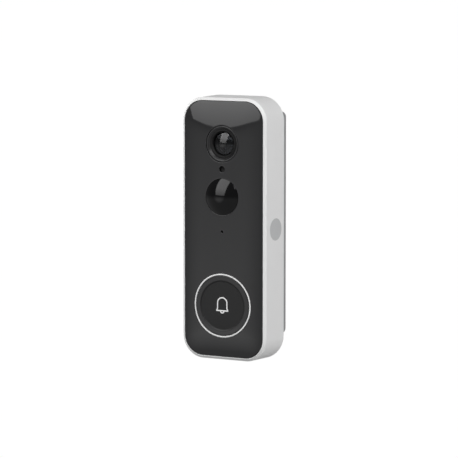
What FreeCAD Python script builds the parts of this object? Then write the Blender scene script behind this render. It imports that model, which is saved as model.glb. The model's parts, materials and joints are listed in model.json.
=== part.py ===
"""Battery video doorbell on its wall plate.

Millimetres. +Z is up, the front faces -Y, and the origin is the centre of the wall plate's back face.
A level is a distance in front of the wall, so a level L lies at Y = -L.
"""
import FreeCAD, Part
import math
import os

import Sketcher
from FreeCAD import Placement, Rotation, Vector

doc = FreeCAD.newDocument("video_doorbell")

BEND_SHARE = 0.45  # of the shorter run beside a wire's corner that its bend takes up
VOLUME_TOLERANCE = 0.02  # of a wire's expected volume
LEAST_CHANGE = 1e-6  # mm3 that a feature has to add or take away

# Driving dimensions, in mm, degrees or plain counts.
SIZES = {
    # Housing
    "body_width": 54.5,
    "body_height": 146.0,
    "body_depth": 20.2,  # rim to back edge
    "body_corner": 13.7,  # corner radius at the back edge
    "side_draft": 0.85,  # how much narrower the front is, each side
    "end_draft": 0.4,  # how much shorter the front is, each end
    "rim_depth": 1.35,
    "rim_width": 1.65,
    "rim_flat": 0.3,
    "wall": 1.8,
    "ledge_width": 2.2,
    "ledge_thickness": 1.4,
    "boss_diameter": 5.0,
    "boss_bite": 0.6,  # how far a screw boss runs into the wall
    "pilot_diameter": 2.1,
    # Front panel
    "panel_gap": 0.1,
    "panel_edge": 2.0,
    "panel_crown": 1.8,
    "panel_shoulder": 6.0,
    "panel_skin": 2.0,
    "hole_gap": 0.1,
    # Camera
    "camera_drop": 25.7,  # below the housing's top
    "bezel_diameter": 19.9,
    "bezel_sunk": 0.3,
    "bezel_slope": 1.0,
    "barrel_diameter": 15.9,
    "barrel_sunk": 1.3,
    "thread_diameter": 13.8,
    "thread_length": 7.0,
    "barrel_bore": 10.6,
    "glass_diameter": 13.1,
    "glass_rise": 0.9,
    "glass_edge": 1.0,
    "lens_thickness": 1.6,
    "holder_size": 17.0,
    "ear_width": 30.0,
    "ear_height": 7.0,
    "ear_thickness": 1.8,
    "ear_screw_inset": 2.3,
    "camera_board_size": 24.0,
    "image_sensor_width": 8.0,
    "image_sensor_height": 6.4,
    "image_sensor_thickness": 0.8,
    "image_sensor_air": 0.7,
    # Ambient light sensor
    "light_sensor_drop": 13.9,  # below the camera
    "light_pipe_diameter": 3.5,
    "light_pipe_sunk": 0.4,
    "chip_size": 2.0,
    "chip_thickness": 0.6,
    # Motion sensor
    "dome_drop": 29.2,  # below the camera
    "dome_diameter": 20.7,
    "dome_rise": 3.3,
    "dome_wall": 1.1,
    "dome_window": 17.0,
    "motion_can_diameter": 9.2,
    "motion_can_height": 3.6,
    "motion_flange_diameter": 9.9,
    "motion_flange_height": 0.4,
    # Microphone
    "mic_share": 0.277,  # of the gap between the dome and the ring, from the dome down
    "mic_hole": 1.3,
    "mic_boot_diameter": 4.0,
    "mic_width": 3.8,
    "mic_height": 3.0,
    "mic_thickness": 1.0,
    # Button
    "button_rise": 30.8,  # above the housing's bottom
    "ring_diameter": 35.9,
    "ring_width": 0.95,
    "button_gap": 0.2,
    "button_sunk": 0.1,
    "button_thickness": 2.2,
    "dish_diameter": 27.2,
    "dish_depth": 0.8,
    "button_travel": 0.6,
    "stem_diameter": 5.0,
    "leg_spacing": 18.0,
    "leg_thickness": 1.2,
    "leg_width": 4.0,
    "barb_reach": 0.8,
    "barb_height": 0.9,
    "barb_gap": 0.1,
    "icon_depth": 0.4,
    "icon_stroke": 0.7,
    "bell_width": 6.6,
    "bell_skirt": 4.3,
    "bell_base": 7.9,
    "clapper_diameter": 2.9,
    "pad_inner": 21.0,
    "pad_outer": 27.0,
    "switch_size": 6.0,
    "switch_height": 3.1,
    "plunger_diameter": 3.3,
    "plunger_gap": 0.1,
    "plunger_stand": 1.2,
    "plunger_depth": 0.8,
    "switch_window": 9.0,
    "lamp_count": 8,
    # Chassis and main board
    "chassis_gap": 0.2,
    "chassis_thickness": 1.6,
    "post_height": 2.0,
    "post_diameter": 4.4,
    "board_thickness": 1.2,
    "board_side_gap": 2.6,
    "board_top_rise": 13.0,  # above the camera's axis
    "board_end_gap": 2.5,  # above the speaker
    "board_screw_inset": 3.2,
    "upper_post_drop": 17.0,  # below the camera's axis
    "screw_diameter": 2.0,
    "screw_head": 3.6,
    "screw_head_height": 1.1,
    "shield_width": 28.0,
    "shield_height": 22.0,
    "shield_thickness": 2.2,
    "shield_wall": 0.3,
    "infrared_spacing": 32.0,
    "infrared_diameter": 3.0,
    "infrared_height": 1.4,
    "antenna_width": 24.0,
    "antenna_height": 6.0,
    "antenna_thickness": 0.3,
    "coax_diameter": 1.1,
    # Battery
    "battery_air": 1.3,  # between the bracket and the shield can
    "battery_side_gap": 0.7,
    "cell_gap": 1.0,
    "cell_corner": 2.5,
    "foam_thickness": 0.5,
    "foam_inset": 1.5,
    "bracket_gap": 0.3,
    "bracket_thickness": 1.2,
    "bracket_foot": 2.4,
    "bracket_reach": 3.2,  # past the battery, each side
    "lead_diameter": 1.2,
    "lead_inset": 0.8,  # behind the battery's front, to the lead's centre
    "lead_spacing": 3.0,
    "plug_width": 7.0,
    "plug_height": 5.0,
    "plug_thickness": 3.4,
    "plug_offset": 15.5,
    # Speaker
    "speaker_offset": 7.0,
    "speaker_width": 13.0,
    "speaker_gap": 0.8,  # to the seal in front of the cover, and to the chassis
    "speaker_height": 4.0,
    "gasket_height": 1.4,
    "gasket_wall": 1.5,
    "mesh_thickness": 0.25,
    "slot_width": 1.2,
    "slot_margin": 1.0,
    "slot_pitch": 2.2,
    "slot_count": 4,
    "speaker_lead_diameter": 0.8,
    # Charging socket
    "socket_offset": 7.5,
    "socket_width": 8.9,
    "socket_height": 7.3,
    "socket_thickness": 3.2,
    "socket_wall": 0.3,
    "socket_wall_gap": 0.5,
    "tongue_width": 6.5,
    "tongue_length": 6.1,
    "tongue_thickness": 0.6,
    "socket_board_width": 14.0,
    "socket_board_height": 12.0,
    "socket_board_thickness": 1.0,
    "port_width": 10.6,
    "port_depth": 4.8,
    "flap_width": 14.0,
    "flap_depth": 8.0,
    "flap_thickness": 1.2,
    "flap_gap": 0.2,
    "flap_corner": 1.6,
    "plug_in_width": 9.2,
    "plug_in_depth": 3.2,
    # Rear cover
    "cover_thickness": 2.0,
    "cover_gap": 0.15,
    "cover_lip": 1.2,
    "seal_thickness": 0.6,
    "seal_inset": 0.15,
    "cover_screw_hole": 2.8,
    "cover_screw_head": 4.4,
    "cover_screw_head_height": 1.3,
    "cover_screw_diameter": 2.5,
    "cover_screw_grip": 7.0,
    "bulge_gap": 1.4,  # to the wall plate's floor
    "bulge_side_gap": 1.2,
    "bulge_top_drop": 18.0,  # below the wall plate's top
    "bulge_foot_rise": 22.0,  # above the wall plate's bottom
    "bulge_wall": 1.8,
    "bulge_corner": 5.0,
    "terminal_zone": 11.0,
    "terminal_recess": 2.6,
    "terminal_recess_width": 28.0,
    "terminal_recess_height": 9.0,
    "terminal_spacing": 14.0,
    "terminal_plate_size": 7.6,
    "terminal_plate_thickness": 0.8,
    "terminal_screw_diameter": 3.0,
    "terminal_head_diameter": 5.6,
    "terminal_head_height": 1.6,
    "terminal_screw_length": 3.4,
    "hook_spacing": 24.0,
    "hook_width": 6.0,
    "hook_leg": 1.6,
    "hook_thickness": 1.7,
    "hook_gap": 0.4,
    "hook_play": 0.8,
    "keeper_width": 9.0,
    "keeper_thickness": 1.4,
    "keeper_rise": 7.1,  # keeper's underside above the wall plate's bottom
    "keeper_drop": 2.0,
    # Wall plate
    "plate_offset": 2.2,  # plate's centre above the housing's centre
    "plate_side_inset": 3.75,
    "plate_end_inset": 11.0,
    "plate_corner": 3.0,
    "plate_depth": 8.5,
    "plate_floor": 2.0,
    "plate_wall": 1.8,
    "seat_gap": 0.2,
    "lip_width": 34.0,
    "lip_reach": 2.0,
    "lip_thickness": 1.8,
    "wall_screw_top_inset": 12.0,
    "wall_screw_foot_inset": 16.0,
    "wall_screw_width": 4.4,
    "wall_screw_slot": 8.0,
    "cable_width": 20.0,
    "cable_height": 16.0,
    "cable_corner": 4.0,
    "cable_rise": 20.0,
    "catch_width": 12.0,
    "catch_gap": 0.6,
    "catch_thickness": 1.0,
    "catch_foot": 5.5,
    "catch_flex": 1.3,
    "catch_lip": 1.4,
    "catch_overlap": 1.0,
    "catch_play": 0.6,
    "catch_tab": 2.5,
    "catch_inset": 0.5,
    # Badge
    "badge_diameter": 12.35,
    "badge_thickness": 0.8,
    "badge_proud": 0.08,
    "badge_rise": 0.4,
    "badge_setback": 0.8,  # behind the middle of the housing's depth
}

# Levels, heights and outlines that follow from the driving dimensions.
PLACES = {
    "level_back": "dims.plate_depth + dims.seat_gap",
    "level_rim": "level_back + dims.body_depth",
    "level_rim_outer": "level_rim - dims.rim_depth",
    "level_crown": "level_rim + dims.panel_crown",
    "level_panel_back": "level_rim - dims.panel_edge",
    "level_skin": "level_crown - dims.panel_skin",
    "level_chassis": "level_panel_back - dims.ledge_thickness",
    "level_chassis_back": "level_chassis - dims.chassis_thickness",
    "level_board": "level_chassis_back - dims.post_height",
    "level_board_back": "level_board - dims.board_thickness",
    "level_cover": "level_back + dims.cover_thickness",
    "level_seat": "level_cover + dims.seal_thickness",
    "level_bulge": "dims.plate_floor + dims.bulge_gap",
    "level_bulge_floor": "level_bulge + dims.bulge_wall",
    "level_bracket": "level_board_back - dims.shield_thickness - dims.battery_air",
    "level_battery": "level_bracket - dims.bracket_thickness - dims.bracket_gap",
    "battery_thickness": "level_battery - dims.foam_thickness - level_bulge_floor",
    "level_terminal": "level_bulge + dims.terminal_recess",
    "front_width": "dims.body_width - 2 * dims.side_draft",
    "front_height": "dims.body_height - 2 * dims.end_draft",
    "front_corner": "dims.body_corner - dims.side_draft",
    "opening_width": "front_width - 2 * dims.rim_width",
    "opening_height": "front_height - 2 * dims.rim_width",
    "opening_corner": "front_corner - dims.rim_width",
    "panel_width": "opening_width - 2 * dims.panel_gap",
    "panel_height": "opening_height - 2 * dims.panel_gap",
    "panel_corner": "opening_corner - dims.panel_gap",
    "cavity_width": "front_width - 2 * dims.wall",
    "cavity_height": "front_height - 2 * dims.wall",
    "cavity_corner": "front_corner - dims.wall",
    "seat_width": "dims.body_width - 2 * dims.cover_lip",
    "seat_height": "dims.body_height - 2 * dims.cover_lip",
    "seat_corner": "dims.body_corner - dims.cover_lip",
    "high_body": "-dims.plate_offset",
    "high_camera": "high_body + dims.body_height / 2 - dims.camera_drop",
    "high_light": "high_camera - dims.light_sensor_drop",
    "high_dome": "high_camera - dims.dome_drop",
    "high_button": "high_body - dims.body_height / 2 + dims.button_rise",
    "dome_foot": "high_dome - dims.dome_diameter / 2",
    "ring_top": "high_button + dims.ring_diameter / 2",
    "high_mic": "dome_foot - dims.mic_share * (dome_foot - ring_top)",
    "low_floor": "high_body - cavity_height / 2",
    "boss_reach": "(cavity_corner - dims.boss_diameter / 2 + dims.boss_bite) * sqrt(0.5)",
    "boss_x": "cavity_width / 2 - cavity_corner + boss_reach",
    "boss_z": "cavity_height / 2 - cavity_corner + boss_reach",
    "board_width": "cavity_width - 2 * dims.board_side_gap",
    "board_top": "high_camera + dims.board_top_rise",
    "board_foot": "low_floor + dims.gasket_height + dims.speaker_height + dims.board_end_gap",
    "post_x": "board_width / 2 - dims.board_screw_inset",
    "post_top": "high_camera - dims.upper_post_drop",
    "post_foot": "board_foot + dims.board_screw_inset",
    "plate_width": "dims.body_width - 2 * dims.plate_side_inset",
    "plate_height": "dims.body_height - 2 * dims.plate_end_inset",
    "plate_top": "plate_height / 2",
    "lip_foot": "plate_top - dims.plate_wall - dims.lip_reach",
    "bulge_width": "plate_width - 2 * dims.plate_wall - 2 * dims.bulge_side_gap",
    "bulge_top": "plate_top - dims.bulge_top_drop",
    "bulge_foot": "dims.bulge_foot_rise - plate_top",
    "well_width": "bulge_width - 2 * dims.bulge_wall",
    "well_foot": "bulge_foot + dims.bulge_wall",
    "well_top": "bulge_top - dims.bulge_wall - dims.terminal_zone",
    "battery_width": "well_width - 2 * dims.battery_side_gap",
    "battery_foot": "well_foot + dims.battery_side_gap",
    "battery_top": "well_top - dims.battery_side_gap",
    "high_battery": "(battery_foot + battery_top) / 2",
    "battery_height": "battery_top - battery_foot",
    "high_terminal": "bulge_top - dims.bulge_wall - dims.terminal_recess_height / 2",
    "level_speaker": "(level_seat + level_chassis_back) / 2",
    "speaker_length": "level_chassis_back - level_seat - 2 * dims.speaker_gap",
    "slot_length": "speaker_length - 2 * dims.gasket_wall - dims.slot_margin",
    "level_port": "level_board_back - dims.socket_board_thickness - dims.socket_thickness / 2",
    "low_under": "high_body - dims.body_height / 2 + dims.end_draft / 2",
    "ring_inner": "dims.ring_diameter - 2 * dims.ring_width",
    "cap_diameter": "ring_inner - 2 * dims.button_gap",
    "level_cap": "level_crown - dims.button_sunk",
    "level_cap_back": "level_cap - dims.button_thickness",
    "level_switch": "level_board + dims.switch_height",
    "level_plunger": "level_switch + dims.plunger_stand",
    "level_barrel": "level_crown - dims.barrel_sunk",
    "level_thread": "level_chassis_back",
    "level_sensor": "level_thread - dims.thread_length - dims.image_sensor_air",
    "level_holder_back": "level_sensor - dims.image_sensor_thickness",
    "draft_angle": "atan(dims.side_draft / (dims.body_depth - dims.rim_depth))",
    "hook_foot": "lip_foot - dims.hook_gap - dims.hook_leg",
    "hook_top": "plate_top - dims.plate_wall - dims.hook_gap",
    "level_hook": "dims.plate_depth - dims.lip_thickness - dims.hook_play - dims.hook_thickness",
    "level_catch_front": "dims.plate_depth - dims.catch_inset",
    "level_catch_lip": "level_catch_front - dims.catch_lip",
    "level_keeper": "level_catch_lip - dims.catch_play - dims.keeper_thickness",
    "keeper_foot": "dims.keeper_rise - plate_top",
    "catch_leaf": "plate_top - dims.plate_wall - dims.catch_flex - dims.catch_thickness",
    "catch_lip_height": "keeper_foot - dims.keeper_drop + dims.catch_overlap + catch_leaf",
    "tab_notch_depth": "dims.plate_depth - level_catch_lip + dims.catch_gap",
    "low_recess": "low_under + dims.flap_thickness",
    "plug_in_top": "low_floor + dims.socket_wall_gap - dims.flap_gap",
    "bracket_width": "battery_width + 2 * dims.bracket_reach",
    "badge_ahead": "dims.body_depth / 2 - dims.badge_setback",
    "level_badge": "level_back + badge_ahead",
    "badge_x": "dims.body_width / 2 - dims.side_draft * badge_ahead / (dims.body_depth - dims.rim_depth)",
}


def make_sheet(name, cells):
    """A spreadsheet with one aliased cell for each entry, and the alias written beside it."""
    sheet = doc.addObject("Spreadsheet::Sheet", name)
    for row, (alias, content) in enumerate(cells.items(), start=1):
        sheet.set(f"A{row}", alias)
        sheet.set(f"B{row}", content if isinstance(content, str) else str(content))
        sheet.setAlias(f"B{row}", alias)
    return sheet


dims = make_sheet("dims", SIZES)
place = make_sheet("place", {alias: "=" + rule for alias, rule in PLACES.items()})
doc.recompute()
nodes = []


def number(rule):
    """The present value of an expression."""
    result = dims.evalExpression(rule)
    return float(getattr(result, "Value", result))


def node(item, label):
    """Names a finished sub-part and puts it on the list of those that are written."""
    item.Label = label
    nodes.append(item)
    return item


# Sketches and features of a Body


def plane_of(body, role):
    """One of the body's own origin planes."""
    return next(item for item in body.Origin.OriginFeatures if item.Role == role)


def sketch_on(body, name, role, across, up, along):
    """A sketch on an origin plane, its centre moved across, up and along the plane's normal."""
    sketch = body.newObject("Sketcher::SketchObject", name)
    sketch.AttachmentSupport = [(plane_of(body, role), "")]
    sketch.MapMode = "FlatFace"
    sketch.setExpression("AttachmentOffset.Base.x", across)
    sketch.setExpression("AttachmentOffset.Base.y", up)
    sketch.setExpression("AttachmentOffset.Base.z", along)
    return sketch


def facing(body, name, level, x="0", z="0"):
    """A sketch that faces the front, at a level, with its centre at x and z."""
    return sketch_on(body, name, "XZ_Plane", x, z, level)


def bind(sketch, kind, items, rule, name):
    """A dimension in a sketch, bound to a rule."""
    index = sketch.addConstraint(Sketcher.Constraint(kind, *items, number(rule)))
    sketch.renameConstraint(index, name)
    sketch.setExpression("Constraints." + name, rule)


def circle(sketch, diameter):
    """A circle about the sketch's centre."""
    index = sketch.addGeometry(Part.Circle(Vector(0, 0, 0), Vector(0, 0, 1), number(diameter) / 2))
    sketch.addConstraint(Sketcher.Constraint("Coincident", index, 3, -1, 1))
    bind(sketch, "Radius", [index], f"({diameter}) / 2", f"radius_{index}")
    return sketch


def rounded(sketch, width, height, corner):
    """A rectangle with round corners about the sketch's centre, of four lines and four arcs."""
    radius = number(corner)
    half_x = number(width) / 2
    half_y = number(height) / 2
    middle = [(1, -1), (1, 1), (-1, 1), (-1, -1)]
    arcs = []
    lines = []
    for turn, (side_x, side_y) in enumerate(middle):
        centre = Vector(side_x * (half_x - radius), side_y * (half_y - radius), 0)
        start = math.radians(270 + 90 * turn)
        ring = Part.Circle(centre, Vector(0, 0, 1), radius)
        arcs.append(sketch.addGeometry(Part.ArcOfCircle(ring, start, start + math.pi / 2)))
    for turn in range(4):
        first = sketch.getPoint(arcs[turn], 2)
        last = sketch.getPoint(arcs[(turn + 1) % 4], 1)
        lines.append(sketch.addGeometry(Part.LineSegment(first, last)))
    for turn in range(4):
        sketch.addConstraint(Sketcher.Constraint("Tangent", arcs[turn], 2, lines[turn], 1))
        sketch.addConstraint(Sketcher.Constraint("Tangent", lines[turn], 2, arcs[(turn + 1) % 4], 1))
        sketch.addConstraint(Sketcher.Constraint("Horizontal" if turn % 2 else "Vertical", lines[turn]))
    for turn in range(1, 4):
        sketch.addConstraint(Sketcher.Constraint("Equal", arcs[0], arcs[turn]))
    bind(sketch, "Radius", [arcs[0]], corner, "corner")
    bind(sketch, "DistanceX", [arcs[3], 3, arcs[0], 3], f"({width}) - 2 * ({corner})", "span_across")
    bind(sketch, "DistanceY", [arcs[0], 3, arcs[1], 3], f"({height}) - 2 * ({corner})", "span_up")
    sketch.addConstraint(Sketcher.Constraint("Symmetric", arcs[3], 3, arcs[1], 3, -1, 1))
    return sketch


def obround(sketch, width, length):
    """A slot with half-round ends about the sketch's centre, its length running up."""
    radius = number(width) / 2
    reach = number(length) / 2 - radius
    ends = []
    for turn, side in enumerate((1, -1)):
        ring = Part.Circle(Vector(0, side * reach, 0), Vector(0, 0, 1), radius)
        ends.append(sketch.addGeometry(Part.ArcOfCircle(ring, turn * math.pi, (turn + 1) * math.pi)))
    for first, last in (ends, ends[::-1]):
        span = Part.LineSegment(sketch.getPoint(first, 2), sketch.getPoint(last, 1))
        line = sketch.addGeometry(span)
        sketch.addConstraint(Sketcher.Constraint("Tangent", first, 2, line, 1))
        sketch.addConstraint(Sketcher.Constraint("Tangent", line, 2, last, 1))
    sketch.addConstraint(Sketcher.Constraint("Vertical", line))
    sketch.addConstraint(Sketcher.Constraint("Equal", *ends))
    sketch.addConstraint(Sketcher.Constraint("Symmetric", ends[0], 3, ends[1], 3, -1, 1))
    bind(sketch, "Radius", [ends[0]], f"({width}) / 2", "end_radius")
    bind(sketch, "DistanceY", [ends[1], 3, ends[0], 3], f"({length}) - ({width})", "centres")
    return sketch


def polygon(sketch, corners):
    """A closed outline of straight lines whose corners are bound to rules, measured from the centre."""
    points = [Vector(number(across), number(up), 0) for across, up in corners]
    count = len(points)
    for index in range(count):
        sketch.addGeometry(Part.LineSegment(points[index], points[(index + 1) % count]))
    for index, (across, up) in enumerate(corners):
        sketch.addConstraint(
            Sketcher.Constraint("Coincident", index - 1 if index else count - 1, 2, index, 1)
        )
        bind(sketch, "DistanceX", [-1, 1, index, 1], across, f"across_{index}")
        bind(sketch, "DistanceY", [-1, 1, index, 1], up, f"up_{index}")
    return sketch


def extrude(body, kind, name, sketch, length, both=False):
    """A Pad or a Pocket of a sketch; the volume has to change, or the feature missed the solid."""
    doc.recompute()
    before = body.Shape.Volume if body.Shape and not body.Shape.isNull() else 0.0
    feature = body.newObject("PartDesign::" + kind, name)
    feature.Profile = sketch
    feature.setExpression("Length", length)
    feature.Midplane = both
    doc.recompute()
    change = feature.Shape.Volume - before
    if (kind == "Pad") != (change > 0) or abs(change) < LEAST_CHANGE:
        raise ValueError(f"{body.Name}.{name} changes the volume by {change}")
    return feature


def pad(body, name, sketch, length, both=False):
    """Grows from the sketch towards the front."""
    return extrude(body, "Pad", name, sketch, length, both)


def pocket(body, name, sketch, depth):
    """Cuts from the sketch towards the wall."""
    return extrude(body, "Pocket", name, sketch, depth)


def new_body(label):
    """A Body that becomes the sub-part of that name."""
    return node(doc.addObject("PartDesign::Body", label), label)


# Primitives and booleans


def block(label, width, height, thickness, front, x="0", z="0"):
    """A box centred on x and z, from its front level back towards the wall."""
    item = doc.addObject("Part::Box", label)
    item.setExpression("Length", width)
    item.setExpression("Width", thickness)
    item.setExpression("Height", height)
    item.setExpression("Placement.Base.x", f"{x} - ({width}) / 2")
    item.setExpression("Placement.Base.y", f"-({front})")
    item.setExpression("Placement.Base.z", f"{z} - ({height}) / 2")
    return item


def disc(label, diameter, thickness, front, x="0", z="0"):
    """A cylinder about a front-to-back axis at x and z, from its front level back towards the wall."""
    item = doc.addObject("Part::Cylinder", label)
    item.Placement = Placement(Vector(0, 0, 0), Rotation(Vector(1, 0, 0), 90))
    item.setExpression("Radius", f"({diameter}) / 2")
    item.setExpression("Height", thickness)
    item.setExpression("Placement.Base.x", x)
    item.setExpression("Placement.Base.y", f"({thickness}) - ({front})")
    item.setExpression("Placement.Base.z", z)
    return item


def ball(label, radius, level, x="0", z="0"):
    """A sphere whose centre lies at a level."""
    item = doc.addObject("Part::Sphere", label)
    item.setExpression("Radius", radius)
    item.setExpression("Placement.Base.x", x)
    item.setExpression("Placement.Base.y", f"-({level})")
    item.setExpression("Placement.Base.z", z)
    return item


def fuse(label, items):
    """Several solids joined into one."""
    item = doc.addObject("Part::MultiFuse", label)
    item.Shapes = items
    return item


def cut(label, base, tools):
    """A solid with others taken away."""
    item = doc.addObject("Part::Cut", label)
    item.Base = base
    item.Tool = tools[0] if len(tools) == 1 else fuse(label + "_tools", tools)
    return item


def common(label, items):
    """What several solids share."""
    item = doc.addObject("Part::MultiCommon", label)
    item.Shapes = items
    return item


def group(label, items):
    """Separate solids kept in one sub-part."""
    item = doc.addObject("Part::Compound", label)
    item.Links = items
    return item


def lead(label, route, diameter):
    """A round wire along straight runs joined by tangent arcs."""
    points = [Vector(*point) for point in route]
    edges = []
    start = points[0]
    for before, corner, after in zip(points, points[1:], points[2:]):
        inward = (corner - before).normalize()
        outward = (after - corner).normalize()
        setback = BEND_SHARE * min((corner - before).Length, (after - corner).Length)
        half_turn = inward.getAngle(outward) / 2
        radius = setback / math.tan(half_turn)
        first = corner - inward * setback
        last = corner + outward * setback
        bisector = (outward - inward).normalize()
        middle = corner + bisector * (radius / math.cos(half_turn) - radius)
        edges.append(Part.LineSegment(start, first).toShape())
        edges.append(Part.Arc(first, middle, last).toShape())
        print(f"{label}: bend radius {radius:.2f} mm")
        start = last
    edges.append(Part.LineSegment(start, points[-1]).toShape())
    path = Part.Wire(edges)
    section = Part.Wire(Part.makeCircle(diameter / 2, points[0], points[1] - points[0]))
    solid = path.makePipeShell([section], True, False)
    expected = math.pi * diameter**2 / 4 * path.Length
    if abs(solid.Volume - expected) > VOLUME_TOLERANCE * expected:
        raise ValueError(f"{label}: volume {solid.Volume}, expected {expected}")
    item = doc.addObject("Part::Feature", label)
    item.Shape = solid
    return item


def signs():
    """The four corners of a rectangle, as signs of x and z."""
    return [(side, end) for side in ("-", "") for end in ("-", "")]


# Wall plate


def mounting_plate():
    """A shallow tray against the wall, with a hooked top lip, two screw slots and a cable opening."""
    body = new_body("mounting_plate")
    outline = rounded(
        facing(body, "outline", "0"), "place.plate_width", "place.plate_height", "dims.plate_corner"
    )
    pad(body, "block", outline, "dims.plate_depth")
    inside = rounded(
        facing(body, "inside", "dims.plate_depth"),
        "place.plate_width - 2 * dims.plate_wall",
        "place.plate_height - 2 * dims.plate_wall",
        "dims.plate_corner - dims.plate_wall",
    )
    pocket(body, "tray", inside, "dims.plate_depth - dims.plate_floor")
    lip_level = "dims.plate_depth - dims.lip_thickness"
    lip = facing(body, "lip", lip_level, "0", "place.lip_foot + (dims.lip_reach + dims.plate_wall / 2) / 2")
    rounded(lip, "dims.lip_width", "dims.lip_reach + dims.plate_wall / 2", "dims.plate_wall / 4")
    pad(body, "hook_lip", lip, "dims.lip_thickness")
    heights = {
        "slot_high": "place.plate_top - dims.wall_screw_top_inset",
        "slot_low": "dims.wall_screw_foot_inset - place.plate_top",
    }
    for name, height in heights.items():
        slot = facing(body, name, "dims.plate_floor", "0", height)
        obround(slot, "dims.wall_screw_width", "dims.wall_screw_slot")
        pocket(body, "screw_" + name, slot, "dims.plate_floor")
    cable = facing(body, "cable", "dims.plate_floor", "0", "dims.cable_rise")
    rounded(cable, "dims.cable_width", "dims.cable_height", "dims.cable_corner")
    pocket(body, "cable_opening", cable, "dims.plate_floor")
    notch = facing(body, "notch", "dims.plate_depth", "0", "-place.plate_top + dims.plate_wall / 2")
    rounded(notch, "dims.catch_width + 2 * dims.catch_gap", "2 * dims.plate_wall", "dims.plate_wall / 4")
    pocket(body, "tab_notch", notch, "place.tab_notch_depth")
    return body


def release_catch():
    """A sprung tongue: a foot on the plate's floor, an upright, a lip that holds the keeper, and a tab."""
    body = new_body("release_catch")
    leaf_low = "-place.catch_leaf - dims.catch_thickness"
    leaf_high = "-place.catch_leaf"
    lip_back = "-place.level_catch_lip"
    lip_front = "-place.level_catch_front"
    floor = "-dims.plate_floor"
    foot_front = "-dims.plate_floor - dims.catch_thickness"
    tab = "-place.plate_top - dims.catch_tab"
    profile = sketch_on(body, "profile", "YZ_Plane", "0", "0", "0")
    polygon(
        profile,
        [
            (floor, leaf_low),
            (lip_back, leaf_low),
            (lip_back, tab),
            (lip_front, tab),
            (lip_front, "-place.catch_leaf + place.catch_lip_height"),
            (lip_back, "-place.catch_leaf + place.catch_lip_height"),
            (lip_back, leaf_high),
            (foot_front, leaf_high),
            (foot_front, "-place.catch_leaf + dims.catch_foot"),
            (floor, "-place.catch_leaf + dims.catch_foot"),
        ],
    )
    pad(body, "tongue", profile, "dims.catch_width", both=True)
    return body


# Housing and rear cover


def main_housing():
    """A drafted shell with a chamfered rim, a ledge for the panel, screw bosses and a sunk cover seat."""
    body = new_body("main_housing")
    centre = ("0", "place.high_body")
    sections = [
        rounded(
            facing(body, "back_edge", "place.level_back", *centre),
            "dims.body_width",
            "dims.body_height",
            "dims.body_corner",
        ),
        rounded(
            facing(body, "rim_outer", "place.level_rim_outer", *centre),
            "place.front_width",
            "place.front_height",
            "place.front_corner",
        ),
        rounded(
            facing(body, "rim_inner", "place.level_rim", *centre),
            "place.opening_width + 2 * dims.rim_flat",
            "place.opening_height + 2 * dims.rim_flat",
            "place.opening_corner + dims.rim_flat",
        ),
    ]
    doc.recompute()
    skin = body.newObject("PartDesign::AdditiveLoft", "skin")
    skin.Profile = sections[0]
    skin.Sections = sections[1:]
    skin.Ruled = True
    doc.recompute()
    recess = rounded(
        facing(body, "recess", "place.level_rim", *centre),
        "place.opening_width",
        "place.opening_height",
        "place.opening_corner",
    )
    pocket(body, "panel_recess", recess, "dims.panel_edge")
    window = rounded(
        facing(body, "window", "place.level_panel_back", *centre),
        "place.opening_width - 2 * dims.ledge_width",
        "place.opening_height - 2 * dims.ledge_width",
        "place.opening_corner - dims.ledge_width",
    )
    pocket(body, "ledge_window", window, "dims.ledge_thickness")
    cavity = rounded(
        facing(body, "cavity", "place.level_chassis", *centre),
        "place.cavity_width",
        "place.cavity_height",
        "place.cavity_corner",
    )
    pocket(body, "hollow", cavity, "place.level_chassis - place.level_back")
    seat = rounded(
        facing(body, "seat", "place.level_seat", *centre),
        "place.seat_width",
        "place.seat_height",
        "place.seat_corner",
    )
    pocket(body, "cover_seat", seat, "place.level_seat - place.level_back")
    for index, (side, end) in enumerate(signs()):
        spot = (f"{side}place.boss_x", f"place.high_body + {end}place.boss_z")
        boss = circle(facing(body, f"boss_{index}", "place.level_seat", *spot), "dims.boss_diameter")
        pad(body, f"screw_boss_{index}", boss, "place.level_chassis - place.level_seat")
        pilot = circle(
            facing(body, f"pilot_{index}", "place.level_seat + dims.cover_screw_grip", *spot),
            "dims.pilot_diameter",
        )
        pocket(body, f"screw_pilot_{index}", pilot, "dims.cover_screw_grip")
    flap = sketch_on(
        body, "flap_outline", "XY_Plane", "-dims.socket_offset", "-place.level_port", "place.low_recess"
    )
    rounded(
        flap, "dims.flap_width + 2 * dims.flap_gap", "dims.flap_depth + 2 * dims.flap_gap",
        "dims.flap_corner",
    )
    pocket(body, "flap_recess", flap, "dims.flap_thickness + dims.end_draft")
    port = sketch_on(
        body, "port_outline", "XY_Plane", "-dims.socket_offset",
        "-place.level_port", "place.low_floor + dims.wall / 4"
    )
    rounded(port, "dims.port_width", "dims.port_depth", "dims.flap_corner")
    pocket(body, "charging_port", port, "2 * dims.wall")
    first = "dims.speaker_offset - (dims.slot_count - 1) * dims.slot_pitch / 2"
    slot = sketch_on(
        body, "speaker_slot", "XY_Plane", first, "-place.level_speaker", "place.low_floor + dims.wall / 4"
    )
    obround(slot, "dims.slot_width", "place.slot_length")
    slots = pocket(body, "speaker_slots", slot, "2 * dims.wall")
    pattern = body.newObject("PartDesign::LinearPattern", "slot_row")
    pattern.Originals = [slots]
    pattern.Direction = (slot, ["H_Axis"])
    pattern.setExpression("Length", "dims.slot_pitch * (dims.slot_count - 1)")
    pattern.setExpression("Occurrences", "dims.slot_count")
    body.Tip = pattern
    doc.recompute()
    sunk = body.newObject("PartDesign::SubtractiveCylinder", "badge_seat")
    place_badge(sunk, "dims.badge_thickness - dims.badge_proud")
    body.Tip = sunk
    doc.recompute()
    return body


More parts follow.
